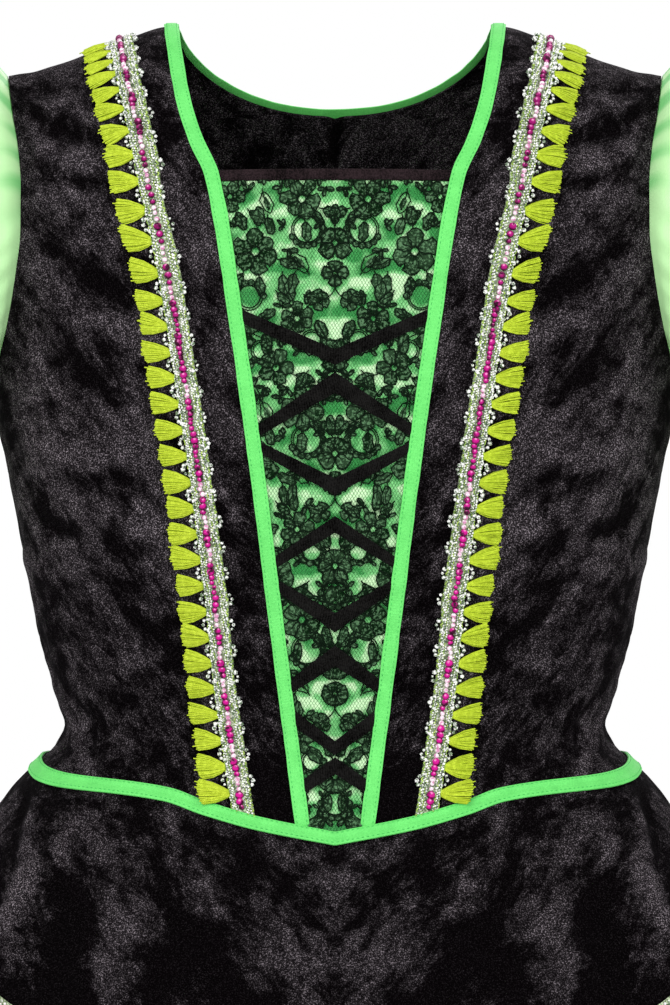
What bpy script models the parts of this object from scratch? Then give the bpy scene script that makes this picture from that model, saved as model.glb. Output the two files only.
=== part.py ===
"""Witch costume dress for a child, as worn, with no wearer.

The origin is level with the neck end of the shoulder seams, in the middle of the body.
The front faces -Y, +Z is up, and "left" is the wearer's left, at +X.
Every length below is in millimetres, and wall() turns them into metres.

A general figure carries the cloth: level rings below the chest, and an elliptical
cap over the shoulders. A place on it is a turn (0 at the centre front, 90 degrees at
the left side, 180 degrees at the centre back), a level (the way along the cloth from
the chest line, up over the shoulder or down) and a lift (the way out of the velvet's
face, or into it where it is negative).
"""

import math
from bisect import bisect_right
from typing import NamedTuple

import bmesh
import bpy
from mathutils import Vector

METRES = 0.001
SEAM = 0.3
REST = 0.5
QUARTER = math.pi / 2

VELVET = 1.5
SATIN = 1.0
LACE = 1.0
TAPE = 1.0
BRAID = 1.2

TRIM_WIDTH = 6.0
WAIST_TRIM_WIDTH = 5.6
BINDING_WIDTH = 4.5
BINDING_PROUD = 1.0
BRAID_WIDTH = 8.6
SCALLOP = 1.1
SCALLOPS_PER_TASSEL = 1
HEM_BRAID_WIDTH = 11.0

CHEST = -110.0
SHOULDER_ARC = 138.0
ARMPIT = -157.0
NECKLINE = -63.7
ROUNDNESS = 2.6
SIDE_WAIST = -308.0


class Ring(NamedTuple):
    height: float
    half_width: float
    front: float
    back: float


class Slope(NamedTuple):
    across: float
    height: float


class Edge(NamedTuple):
    height: float
    across: float


class Waist(NamedTuple):
    degrees: float
    height: float


class Flare(NamedTuple):
    fall: float
    out: float


class Spread(NamedTuple):
    drop: float
    side: float
    front: float


class Lacing(NamedTuple):
    name: str
    end_top: float
    end_bottom: float
    middle_top: float
    middle_bottom: float


RINGS = (
    Ring(height=-345, half_width=141, front=87, back=88),
    Ring(height=-322, half_width=133, front=80, back=82),
    Ring(height=-308, half_width=124, front=76, back=77),
    Ring(height=-301, half_width=117, front=73.5, back=74),
    Ring(height=-293, half_width=113.5, front=72.5, back=71.5),
    Ring(height=-283, half_width=116.5, front=73, back=72),
    Ring(height=-251, half_width=125, front=77, back=74),
    Ring(height=-213, half_width=132, front=83, back=80),
    Ring(height=-182, half_width=138, front=87, back=85),
    Ring(height=-157, half_width=143, front=89, back=88),
    Ring(height=-110, half_width=146, front=86, back=88),
)
SHOULDER = (
    Slope(across=0, height=0),
    Slope(across=70, height=0),
    Slope(across=85, height=-4.5),
    Slope(across=105, height=-12),
    Slope(across=120, height=-17),
    Slope(across=150, height=-23),
)
FRONT_EDGE = (
    Edge(height=-340, across=12.2),
    Edge(height=-298, across=17.8),
    Edge(height=-245, across=24.5),
    Edge(height=-187, across=31.7),
    Edge(height=-129, across=39.8),
    Edge(height=-66, across=50.3),
    Edge(height=-51, across=57),
    Edge(height=-35, across=62.2),
    Edge(height=-11, across=66.8),
    Edge(height=0, across=68.6),
)
BACK_NECK_DROP = 34.0
BACK_NECK_REACH = 68.6
BACK_NECK_ACROSS = 2.2
BACK_NECK_DOWN = 1.5
FRONT_KINK = -66.0
AROUND_KINK = (-0.03, 0.04, 0.1)
BACK_NECK_STEPS = 12
ARMHOLE = (
    Edge(height=-157, across=143),
    Edge(height=-150, across=141.6),
    Edge(height=-138, across=139),
    Edge(height=-127, across=136),
    Edge(height=-105, across=132),
    Edge(height=-87, across=130),
    Edge(height=-69, across=130),
    Edge(height=-52, across=131.5),
    Edge(height=-39, across=134),
    Edge(height=-20, across=137),
)
BRAID_LINE = (
    Edge(height=-330, across=36.6),
    Edge(height=-307, across=40.2),
    Edge(height=-281, across=44),
    Edge(height=-235, across=48.7),
    Edge(height=-187, across=54.8),
    Edge(height=-142, across=61.5),
    Edge(height=-107, across=67),
    Edge(height=-73, across=74.2),
    Edge(height=-40, across=81.2),
    Edge(height=-8, across=88.4),
)
FRONT_WAIST = (
    Waist(degrees=0, height=-337.2),
    Waist(degrees=21, height=-331),
    Waist(degrees=34, height=-325),
    Waist(degrees=43, height=-319.5),
    Waist(degrees=52, height=-317),
    Waist(degrees=66, height=-314.6),
    Waist(degrees=73, height=-312.6),
    Waist(degrees=81, height=-309.8),
    Waist(degrees=90, height=SIDE_WAIST),
)
BACK_WAIST_DIP = 5.0

LACINGS = (
    Lacing("lacing_v1", end_top=-120.5, end_bottom=-126.1, middle_top=-137.2, middle_bottom=-143.6),
    Lacing("lacing_a1", end_top=-168.5, end_bottom=-173.4, middle_top=-146.5, middle_bottom=-155.1),
    Lacing("lacing_v2", end_top=-174.6, end_bottom=-179.2, middle_top=-189.7, middle_bottom=-196.7),
    Lacing("lacing_a2", end_top=-222.3, end_bottom=-227.2, middle_top=-205.2, middle_bottom=-212.1),
    Lacing("lacing_v3", end_top=-230.9, end_bottom=-235.8, middle_top=-244.8, middle_bottom=-252.9),
    Lacing("lacing_a3", end_top=-272.5, end_bottom=-278.6, middle_top=-258.2, middle_bottom=-266.8),
    Lacing("lacing_v4", end_top=-284.3, end_bottom=-291.3, middle_top=-297.4, middle_bottom=-303.2),
    Lacing("lacing_a4", end_top=-313.3, end_bottom=-319.4, middle_top=-304.0, middle_bottom=-311.0),
)

PEPLUM_HEM = -419.0
PEPLUM_DIP = 47.0
PEPLUM_SWELL = 9.0
PEPLUM_OUT_SIDE = 49.0
PEPLUM_OUT_FRONT = 66.0
PEPLUM_ROUNDNESS = 2.15
PEPLUM_WAVE = 5.0
PEPLUM_FLARE = (
    Flare(fall=0, out=0),
    Flare(fall=0.08, out=0.12),
    Flare(fall=0.28, out=0.33),
    Flare(fall=0.6, out=0.66),
    Flare(fall=1, out=1),
)
SKIRT_HEM = -700.0
SKIRT_INSIDE = 2.3
SKIRT_ROUNDNESS = 2.1
SKIRT_WAVE = 13.0
SKIRT_SPREAD = (
    Spread(drop=0, side=0, front=0),
    Spread(drop=30, side=8, front=6),
    Spread(drop=60, side=22, front=17),
    Spread(drop=110, side=43, front=38),
    Spread(drop=200, side=76, front=76),
    Spread(drop=392, side=134, front=140),
)
PEPLUM_FOLDS = 12
SKIRT_FOLDS = 18
FOLD_POINTS = 6

PEPLUM_FALLS = (0.003, 0.09, 0.28, 0.6, 1.0)
SKIRT_FALLS = (0.003, 0.1, 0.28, 0.6, 1.0)
MAIN_WAVE = 0.72
SLOW_WAVE = 0.28
WAIST_TRIM_STEPS = 32

EDGE_GUESS = 0.4
EDGE_ROUNDS = 8

# The sleeve: each thread of its length is a cubic curve from the armhole to the cuff,
# which leaves the armhole by SLEEVE_PUFF, outward and along the armhole's spoke, and
# reaches the cuff by CUFF_PUFF, from outside it and from above it.
SLEEVE_TILT = math.radians(22)
CUFF_MIDDLE = Vector((192, 0, -199))
CUFF_RADIUS = 40.0
CUFF_HEIGHT = 11.0
SLEEVE_OFF = 0.6
SLEEVE_PUFF = 62.0
LEAVE_OUTWARD = 0.62
LEAVE_SPOKE = 0.78
CUFF_PUFF = 58.0
ARRIVE_OUTSIDE = 0.75
ARRIVE_ABOVE = 0.66
UNDERARM_PUFF = 0.3
SLEEVE_GATHER = 1.6
SLEEVE_SPLITS = 2
SLEEVE_SHARES = (0.0, 0.1, 0.27, 0.5, 0.73, 0.9, 1.0)

TASSEL_PITCH = 10.6
FIRST_TASSEL = 4.8
SPILL = 2.3
FRINGE_STRIP = 1.4
LOCKS_PER_TASSEL = 3
LOCK_LENGTH = 11.0
LOCK_ROOT_PITCH = 1.15
LOCK_ROOT_HALF = 0.42
LOCK_END_PITCH = 2.9
LOCK_END_HALF = 1.15


def read(table, column, at):
    """Reads a column of a table at a value of its first column, on a monotone cubic."""
    keys = [row[0] for row in table]
    values = [getattr(row, column) for row in table]
    if at <= keys[0]:
        return values[0]
    if at >= keys[-1]:
        return values[-1]
    steps = [(b - a) / (q - p) for a, b, p, q in zip(values, values[1:], keys, keys[1:])]

    def tangent(row):
        if row in (0, len(steps)):
            return steps[min(row, len(steps) - 1)]
        before, after = steps[row - 1], steps[row]
        return 0.0 if before * after <= 0 else 2 * before * after / (before + after)

    row = bisect_right(keys, at) - 1
    span = keys[row + 1] - keys[row]
    t = (at - keys[row]) / span
    return (
        values[row] * (1 + 2 * t) * (1 - t) ** 2
        + values[row + 1] * t * t * (3 - 2 * t)
        + span * t * (1 - t) * (tangent(row) * (1 - t) - tangent(row + 1) * t)
    )


def steps_between(first, last, count):
    """Returns count + 1 even steps from first to last."""
    return [first + (last - first) * i / count for i in range(count + 1)]


def ring_point(turn, half_width, depth, roundness):
    """Returns x and y of a rounded section at a turn from the centre front."""
    across, along = math.sin(turn), math.cos(turn)
    reach = (abs(across) / half_width) ** roundness + (abs(along) / depth) ** roundness
    radius = reach ** (-1 / roundness)
    return radius * across, -radius * along


def depth_of(turn, height):
    """Returns the figure's half depth on the side, front or back, that a turn looks to."""
    return read(RINGS, "front" if math.cos(turn) > 0 else "back", height)


def figure(turn, level, lift=0.0):
    """Returns a point of the general figure."""
    height = CHEST + min(level, 0.0)
    half_width = read(RINGS, "half_width", height) + lift
    x, y = ring_point(turn, half_width, depth_of(turn, height) + lift, ROUNDNESS)
    if level > 0:
        over = level / SHOULDER_ARC * QUARTER
        top = read(SHOULDER, "height", abs(x)) + lift
        height = CHEST + (top - CHEST) * math.sin(over)
        y *= math.cos(over)
    return Vector((x, y, height))


def turn_at(across, level, back):
    """Returns the turn at which the figure lies a way across from the middle."""
    height = CHEST + min(level, 0.0)
    half_width = read(RINGS, "half_width", height)
    share = min(abs(across) / half_width, 1.0)
    depth = read(RINGS, "back" if back else "front", height)
    along = depth * (1 - share**ROUNDNESS) ** (1 / ROUNDNESS)
    turn = math.atan2(abs(across), -along if back else along)
    return math.copysign(turn, across)


def normal_at(surface, u, v):
    """Returns the outward normal of surface(u, v), on a figure round the Z axis."""
    near = 1e-3
    along_u = surface(u + near, v) - surface(u - near, v)
    along_v = surface(u, v + near) - surface(u, v - near)
    normal = along_u.cross(along_v).normalized()
    middle = surface(u, v)
    outward = normal.x * middle.x + normal.y * middle.y + normal.z * max(middle.z - CHEST, 0.0)
    return normal if outward > 0 else -normal


def waist_height(turn):
    """Returns the height of the waist seam, which dips to a point at the centre front."""
    if math.cos(turn) > 0:
        return read(FRONT_WAIST, "height", abs(math.degrees(math.asin(math.sin(turn)))))
    return SIDE_WAIST - BACK_WAIST_DIP * math.cos(turn) ** 2


def row_level(row, turn):
    """Returns the level of a panel's row: 0 at the waist seam, 1 at the chest, 2 at the shoulder seam."""
    if row <= 1:
        return (waist_height(turn) + SEAM - CHEST) * (1 - row)
    return (row - 1) * SHOULDER_ARC


def cap_level(across, height):
    """Returns the level of a place on the cap over the shoulders."""
    top = read(SHOULDER, "height", abs(across))
    return math.asin(min((height - CHEST) / (top - CHEST), 1.0)) / QUARTER * SHOULDER_ARC


def front_edge(height):
    """Returns how far the velvet front's inner edge lies from the middle."""
    return read(FRONT_EDGE, "across", height)


def back_edge(height):
    """Returns how far the back's inner edge lies from the middle, on a rounded neckline."""
    down = min(max(-height / BACK_NECK_DROP, 0.0), 1.0)
    return BACK_NECK_REACH * (1 - down**BACK_NECK_DOWN) ** (1 / BACK_NECK_ACROSS)


def back_neck_height(across):
    """Returns the height of the back neckline at a way from the middle."""
    share = min(across / BACK_NECK_REACH, 1.0)
    return -BACK_NECK_DROP * (1 - share**BACK_NECK_ACROSS) ** (1 / BACK_NECK_DOWN)


def armhole_edge(height):
    """Returns how far the armhole's edge lies from the middle."""
    return read(ARMHOLE, "across", height)


def turn_of_edge(edge, row, back):
    """Returns the turn at which a panel's row meets an edge, given as a function of height."""
    turn = math.pi - EDGE_GUESS if back else EDGE_GUESS
    for _ in range(EDGE_ROUNDS):
        level = row_level(row, turn)
        turn = turn_at(edge(figure(turn, level).z), level, back)
    return turn


def fold(turn, folds):
    """Returns an uneven wave round a skirt, from -1 to 1, the same on both sides."""
    slow = math.cos(folds * turn / 2) * math.cos(3 * turn)
    return MAIN_WAVE * math.cos(folds * turn) + SLOW_WAVE * slow


def hem_height(turn):
    """Returns the height of the peplum's hem, lowest at the centres and full beside them."""
    return PEPLUM_HEM - PEPLUM_DIP * math.cos(2 * turn) - PEPLUM_SWELL * math.sin(2 * turn) ** 2


def peplum_point(turn, fall):
    """Returns a point of the peplum's face, from the waist seam at fall 0 to its hem at 1."""
    top = waist_height(turn)
    out = read(PEPLUM_FLARE, "out", fall)
    wave = PEPLUM_WAVE * max(fall, 0.0) ** 1.3 * fold(turn, PEPLUM_FOLDS)
    half_width = read(RINGS, "half_width", top) + PEPLUM_OUT_SIDE * out + wave
    depth = depth_of(turn, top) + PEPLUM_OUT_FRONT * out + wave
    roundness = ROUNDNESS + (PEPLUM_ROUNDNESS - ROUNDNESS) * fall
    x, y = ring_point(turn, half_width, depth, roundness)
    return Vector((x, y, top + (hem_height(turn) - top) * fall))


def skirt_point(turn, fall):
    """Returns a point of the skirt's face, from the waist seam at fall 0 to its hem at 1."""
    top = waist_height(turn)
    drop = (top - SKIRT_HEM) * fall
    wave = SKIRT_WAVE * max(fall, 0.0) ** 1.1 * fold(turn, SKIRT_FOLDS)
    half_width = read(RINGS, "half_width", top) - SKIRT_INSIDE + read(SKIRT_SPREAD, "side", drop) + wave
    depth = depth_of(turn, top) - SKIRT_INSIDE + read(SKIRT_SPREAD, "front", drop) + wave
    roundness = ROUNDNESS + (SKIRT_ROUNDNESS - ROUNDNESS) * min(3 * fall, 1.0)
    x, y = ring_point(turn, half_width, depth, roundness)
    return Vector((x, y, top - drop))


def waist_point(turn, up):
    """Returns a point a way up from the waist seam on the bodice, or down on the peplum."""
    if up >= 0:
        return figure(turn, waist_height(turn) + up - CHEST)
    return peplum_point(turn, -up / (waist_height(turn) - hem_height(turn)))


def lifted(surface, u, v, lift):
    """Returns surface(u, v) moved out along its normal."""
    return surface(u, v) + normal_at(surface, u, v) * lift


def make_material(name, colour, roughness, metallic=0.0):
    """Makes a plain Principled material."""
    material = bpy.data.materials.new(name)
    material.use_nodes = True
    shader = material.node_tree.nodes["Principled BSDF"]
    shader.inputs["Base Color"].default_value = (*colour, 1.0)
    shader.inputs["Roughness"].default_value = roughness
    shader.inputs["Metallic"].default_value = metallic
    return material


def make_solid(name, material, points, faces, shift=(0, 0, 0)):
    """Makes one closed object from points in millimetres, with its faces pointing out."""
    mesh = bpy.data.meshes.new(name)
    mesh.from_pydata([(p + Vector(shift)) * METRES for p in points], [], faces)
    work = bmesh.new()
    work.from_mesh(mesh)
    bmesh.ops.recalc_face_normals(work, faces=work.faces)
    work.to_mesh(mesh)
    work.free()
    mesh.materials.append(material)
    solid = bpy.data.objects.new(name, mesh)
    bpy.context.scene.collection.objects.link(solid)
    return solid


def wall(name, material, outer, inner, closed=False, shift=(0, 0, 0)):
    """Makes a cloth wall between two grids of points, each a list of rows."""
    rows, columns = len(outer), len(outer[0])
    points = [p for grid in (outer, inner) for row in grid for p in row]

    def at(layer, row, column):
        return (layer * rows + row) * columns + column % columns

    spans = range(columns if closed else columns - 1)
    faces = []
    for row in range(rows - 1):
        for column in spans:
            for layer in (0, 1):
                faces.append(
                    (
                        at(layer, row, column),
                        at(layer, row, column + 1),
                        at(layer, row + 1, column + 1),
                        at(layer, row + 1, column),
                    )
                )

    def edge_face(row, column, next_row, next_column):
        a, b = at(0, row, column), at(0, next_row, next_column)
        faces.append((a, b, b + rows * columns, a + rows * columns))

    for row in (0, rows - 1):
        for column in spans:
            edge_face(row, column, row, column + 1)
    if not closed:
        for column in (0, columns - 1):
            for row in range(rows - 1):
                edge_face(row, column, row + 1, column)
    return make_solid(name, material, points, faces, shift)


def figure_wall(name, material, rows, turns_of_row, face, thickness, shift):
    """Makes a wall on the figure whose face has the given lift."""
    grids = []
    for lift in (face, face - thickness):
        grid = []
        for row in rows:
            grid.append([figure(turn, row_level(row, turn), lift) for turn in turns_of_row(row)])
        grids.append(grid)
    return wall(name, material, *grids, shift=shift)


def mirrored(point, axis):
    """Returns a point on the other side of the plane x = 0 or y = 0, for axis 0 or 1."""
    other = point.copy()
    other[axis] = -other[axis]
    return other


def tape(name, material, middles, normals, half_widths, lift, thickness, shift=(0, 0, 0), first_plane=None):
    """Makes a flat tape along points on a surface, up to the shoulder seam.

    It starts square to the plane x = 0 or y = 0 where first_plane gives its axis.
    """
    outer, inner = [], []
    before = middles[0] if first_plane is None else mirrored(middles[1], first_plane)
    line = [before, *middles, mirrored(middles[-2], 1)]
    for i, (middle, normal, half_width) in enumerate(zip(middles, normals, half_widths)):
        along = line[i + 2] - line[i]
        across = normal.cross(along).normalized() * half_width
        for grid, height in ((outer, lift + thickness), (inner, lift)):
            grid.append([middle + across + normal * height, middle - across + normal * height])
    return wall(name, material, outer, inner, shift=shift)


ARMPIT_ROW = 1 - (CHEST - ARMPIT) / (CHEST - SIDE_WAIST)
LOWER_ROWS = (0, 0.03, 0.06, 0.09, 0.12, 0.16, 0.22, 0.31, 0.44, 0.6, ARMPIT_ROW)
ARMHOLE_ROWS = (ARMPIT_ROW, 0.80, 0.87, 1.0, 1.13, 1.262, 1.42, 1.58, 1.73, 1.87, 2.0)
ABOVE_BACK_NECK = (0.0, 1.0, 4.0, 12.0)
BACK_NECK_ROWS = tuple(1 + cap_level(0, up - BACK_NECK_DROP) / SHOULDER_ARC for up in ABOVE_BACK_NECK)
FRONT_ROWS = LOWER_ROWS + ARMHOLE_ROWS[1:]
BACK_ROWS = tuple(sorted(set(LOWER_ROWS + ARMHOLE_ROWS + BACK_NECK_ROWS)))
PANEL_COLUMNS = 8
FRONT_COLUMNS = 8


def armhole_turn(row, back):
    """Returns the turn of a panel's outer edge: its side seam, or its armhole above the armpit."""
    if row <= ARMPIT_ROW:
        return QUARTER
    return turn_of_edge(armhole_edge, row, back)


def inner_turn(row, back):
    """Returns the turn of a panel's inner edge, where it meets the neck, stomacher or back closure."""
    return turn_of_edge(back_edge if back else front_edge, row, back)


def make_panel(name, material, side, back):
    """Makes one velvet front or back of the bodice."""

    def turns(row):
        first, last = inner_turn(row, back), armhole_turn(row, back)
        return [side * turn for turn in steps_between(first, last, PANEL_COLUMNS)]

    rows = BACK_ROWS if back else FRONT_ROWS
    shift = (side * SEAM / 2, SEAM / 2 if back else -SEAM / 2, 0)
    return figure_wall(name, material, rows, turns, 0.0, VELVET, shift)


def stomacher_rows():
    """Returns the stomacher's rows, from the waist seam to just under its top binding."""
    top = 1 + cap_level(0, NECKLINE - BINDING_WIDTH - SEAM) / SHOULDER_ARC
    return [*LOWER_ROWS, *ARMHOLE_ROWS[1:5], top]


def make_stomacher(satin, lace):
    """Makes the stomacher's satin and the lace that lies on it."""

    def satin_turns(row):
        edge = turn_of_edge(front_edge, row, False)
        return steps_between(-edge, edge, FRONT_COLUMNS)

    def lace_turns(row):
        edge = turn_of_edge(front_edge, row, False)
        level = row_level(row, edge)
        edge = turn_at(figure(edge, level).x - TRIM_WIDTH / 2 - REST, level, False)
        return steps_between(-edge, edge, FRONT_COLUMNS)

    shift = (0, -SEAM / 2, 0)
    figure_wall("stomacher_satin", satin, stomacher_rows(), satin_turns, SATIN - VELVET, SATIN, shift)
    face = SATIN - VELVET + SEAM + LACE
    rows = [0.03, *stomacher_rows()[1:]]
    figure_wall("stomacher_lace", lace, rows, lace_turns, face, LACE, shift)


def front_point(across, height, lift):
    """Returns a point of the front below the neckline, given as the photo shows it."""
    level = height - CHEST if height < CHEST else cap_level(across, height)
    return figure(turn_at(across, level, False), level, lift)


def make_binding(material):
    """Makes the black binding along the stomacher's top."""
    reach = front_edge(NECKLINE - BINDING_WIDTH) - TRIM_WIDTH / 2 - 2 * REST
    outer, inner = [], []
    for across in steps_between(-reach, reach, FRONT_COLUMNS):
        heights = (NECKLINE, NECKLINE - BINDING_WIDTH)
        outer.append([front_point(across, height, BINDING_PROUD) for height in heights])
        inner.append([front_point(across, height, -VELVET) for height in heights])
    wall("stomacher_binding", material, outer, inner, shift=(0, -SEAM / 2, 0))


def make_lacing(material, lacing):
    """Makes one ribbon of the zigzag lacing, from trim to trim over the stomacher."""
    lift = SATIN - VELVET + SEAM + LACE + REST + SEAM
    grids = []
    for layer in (lift + TAPE, lift):
        grid = []
        for share in steps_between(-1, 1, FRONT_COLUMNS):
            row = []
            for end, middle in (
                (lacing.end_top, lacing.middle_top),
                (lacing.end_bottom, lacing.middle_bottom),
            ):
                reach = front_edge(end) - TRIM_WIDTH / 2 - REST
                row.append(front_point(share * reach, middle + (end - middle) * abs(share), layer))
            grid.append(row)
        grids.append(grid)
    wall(lacing.name, material, *grids, shift=(0, -SEAM / 2, 0))


def make_edge_trims(material):
    """Makes the green trims of the front edges and of the back neck."""
    start = (WAIST_TRIM_WIDTH / 2 + 3 * REST) / (CHEST - waist_height(0.0))
    kink = 1 + cap_level(0, FRONT_KINK) / SHOULDER_ARC
    front_rows = sorted({start, *FRONT_ROWS[2:], *(kink + past for past in AROUND_KINK)})
    for side, word in ((1, "left"), (-1, "right")):
        front, back = [], []
        for row in front_rows:
            turn = turn_of_edge(front_edge, row, False)
            front.append((side * turn, row_level(row, turn)))
        for step in range(BACK_NECK_STEPS + 1):
            across = BACK_NECK_REACH * math.sin(QUARTER * step / BACK_NECK_STEPS)
            level = cap_level(across, back_neck_height(across))
            back.append((side * turn_at(across, level, True), level))
        for name, line, toward, first_plane in (("front", front, -1, None), ("back_neck", back, 1, 0)):
            middles = [figure(turn, level) for turn, level in line]
            normals = [normal_at(figure, turn, level) for turn, level in line]
            widths = [TRIM_WIDTH / 2] * len(line)
            shift = (side * SEAM / 2, toward * SEAM / 2, 0)
            tape(f"{name}_trim_{word}", material, middles, normals, widths, REST, TAPE, shift, first_plane)


def waist_tape(name, material, turns, shift):
    """Makes a stretch of the green waist trim, over the seam of bodice and peplum."""
    outer, inner = [], []
    half = WAIST_TRIM_WIDTH / 2
    for turn in turns:
        ups = (half, 0.0, -half)
        outer.append([lifted(waist_point, turn, up, REST + TAPE) for up in ups])
        inner.append([lifted(waist_point, turn, up, REST) for up in ups])
    wall(name, material, outer, inner, shift=shift)


def make_waist_trims(material):
    """Makes the waist trim: one front, and two backs that meet at the closure."""
    turns = steps_between(-QUARTER, QUARTER, WAIST_TRIM_STEPS)
    waist_tape("waist_trim_front", material, turns, (0, -SEAM / 2, 0))
    for side, word in ((1, "left"), (-1, "right")):
        turns = steps_between(side * QUARTER, side * math.pi, WAIST_TRIM_STEPS // 2)
        waist_tape(f"waist_trim_back_{word}", material, turns, (side * SEAM / 2, SEAM / 2, 0))


def braid_point(side, level, out=0.0, lift=0.0):
    """Returns a point a way outward from the braid's line, level with a place on it."""
    turn = EDGE_GUESS
    for _ in range(EDGE_ROUNDS):
        turn = turn_at(read(BRAID_LINE, "across", figure(turn, level).z), level, False)
    turn = turn_at(figure(turn, level).x + out, level, False)
    return figure(side * turn, level, lift)


def braid_levels():
    """Returns the lowest and highest level of the braid, from the waist trim to the shoulder seam."""
    outer_edge = BRAID_LINE[0].across + BRAID_WIDTH / 2 + SCALLOP
    turn = turn_at(outer_edge, SIDE_WAIST - CHEST, False)
    return waist_height(turn) + WAIST_TRIM_WIDTH / 2 + 2 * REST - CHEST, SHOULDER_ARC


def make_braids(material):
    """Makes the two beaded braids, with the scallops of their looped edges."""
    bottom, top = braid_levels()
    count = 2 * round((top - bottom) / TASSEL_PITCH * SCALLOPS_PER_TASSEL)
    for side, word in ((1, "left"), (-1, "right")):
        middles, normals, widths = [], [], []
        for i, level in enumerate(steps_between(bottom, top, count)):
            middle = braid_point(side, level)
            turn = math.atan2(middle.x, -middle.y) if level <= 0 else turn_at(middle.x, level, False)
            middles.append(middle)
            normals.append(normal_at(figure, turn, level))
            widths.append(BRAID_WIDTH / 2 + SCALLOP * (i % 2))
        shift = (side * SEAM / 2, -SEAM / 2, 0)
        tape(f"braid_{word}", material, middles, normals, widths, REST, BRAID, shift)


def tassel_levels():
    """Returns the level of each tassel of a fringe, from the lowest to the highest."""
    bottom, top = braid_levels()
    count = int((top - bottom - FIRST_TASSEL) / TASSEL_PITCH) + 1
    return [bottom + FIRST_TASSEL + TASSEL_PITCH * k for k in range(count)]


def make_fringe(name, material, side):
    """Makes one fringe: a narrow strip beside the braid, with fanned tassels of a few locks."""
    near = BRAID_WIDTH / 2 + SCALLOP + REST
    far = near + FRINGE_STRIP
    points, faces = [], []

    def put(level, out):
        """Adds the pair of points, outer and inner, of one place beside the braid."""
        for lift in (REST + TAPE, REST):
            points.append(braid_point(side, level, out, lift))
        return len(points) - 2

    def quad(a, b):
        """Adds the edge face between two pairs of points."""
        faces.append((a, b, b + 1, a + 1))

    levels = tassel_levels()
    half_pitch = TASSEL_PITCH / 2
    edges = [levels[0] - LOCK_ROOT_PITCH - 2 * LOCK_ROOT_HALF] + [level + half_pitch for level in levels[:-1]]
    edges.append(min(levels[-1] + half_pitch, SHOULDER_ARC))
    near_pairs = [put(level, near) for level in edges]
    far_pairs = [put(level, far) for level in edges]
    for k, level in enumerate(levels):
        outline = [far_pairs[k]]
        for lock in range(LOCKS_PER_TASSEL):
            place = lock - (LOCKS_PER_TASSEL - 1) / 2
            root = level + place * LOCK_ROOT_PITCH
            low, high = put(root - LOCK_ROOT_HALF, far), put(root + LOCK_ROOT_HALF, far)
            quad(outline[-1], low)
            outline += [low, high]
            end = min(level + place * LOCK_END_PITCH, SHOULDER_ARC - LOCK_END_HALF)
            out = far + LOCK_LENGTH - abs(place)
            spill = 0.0 if k else SPILL
            for place in (end - LOCK_END_HALF, end + LOCK_END_HALF):
                points.append(braid_point(side, place, out, REST + TAPE / 2 + spill))
            end_high = len(points) - 1
            end_low = end_high - 1
            faces += [(low, low + 1, end_low), (high, high + 1, end_high)]
            for layer in (0, 1):
                faces.append((low + layer, end_low, end_high, high + layer))
        quad(outline[-1], far_pairs[k + 1])
        outline.append(far_pairs[k + 1])
        for layer in (0, 1):
            faces.append([near_pairs[k] + layer] + [p + layer for p in outline] + [near_pairs[k + 1] + layer])
        quad(near_pairs[k], near_pairs[k + 1])
    for end in (0, -1):
        quad(near_pairs[end], far_pairs[end])
    make_solid(name, material, points, faces, (side * SEAM / 2, -SEAM / 2, 0))


def make_skirt_pieces(name, material, surface, thickness, falls, folds):
    """Makes the front and back of a flared, folded skirt layer that meet at the side seams."""
    columns = folds * FOLD_POINTS // 2
    for word, middle, shift in (("front", 0.0, -SEAM / 2), ("back", math.pi, SEAM / 2)):
        grids = []
        for lift in (0.0, -thickness):
            grid = []
            for fall in falls:
                turns = steps_between(middle - QUARTER, middle + QUARTER, columns)
                grid.append([lifted(surface, turn, fall, lift) for turn in turns])
            grids.append(grid)
        wall(f"{name}_{word}", material, *grids, shift=(0, shift, 0))


def make_hem_braids(material):
    """Makes the braid that edges the peplum's hem, front and back."""
    columns = PEPLUM_FOLDS * FOLD_POINTS // 2
    for word, middle, shift in (("front", 0.0, -SEAM / 2), ("back", math.pi, SEAM / 2)):
        outer, inner = [], []
        for turn in steps_between(middle - QUARTER, middle + QUARTER, columns):
            length = (peplum_point(turn, 1.0) - peplum_point(turn, 0.8)).length / 0.2
            falls = (1 - HEM_BRAID_WIDTH / length, 1.0)
            outer.append([lifted(peplum_point, turn, fall, REST + BRAID) for fall in falls])
            inner.append([lifted(peplum_point, turn, fall, REST) for fall in falls])
        wall(f"peplum_braid_{word}", material, outer, inner, shift=(0, shift, 0))


def armhole_ring(side):
    """Returns the points of an armhole's edge, from the shoulder seam down the front and up the back."""
    ring = []
    for back, rows in ((False, reversed(ARMHOLE_ROWS)), (True, ARMHOLE_ROWS)):
        for row in rows:
            turn = side * armhole_turn(row, back)
            point = figure(turn, row_level(row, turn))
            ring.append(point + Vector((side * SEAM / 2, SEAM / 2 if back else -SEAM / 2, 0)))
    bottom = len(ARMHOLE_ROWS)
    ring[0] = (ring[0] + ring[-1]) / 2
    ring[bottom - 1] = (ring[bottom - 1] + ring[bottom]) / 2
    del ring[-1], ring[bottom]
    fine = []
    for a, b in zip(ring, ring[1:] + ring[:1]):
        fine += [a.lerp(b, i / SLEEVE_SPLITS) for i in range(SLEEVE_SPLITS)]
    return fine


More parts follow.
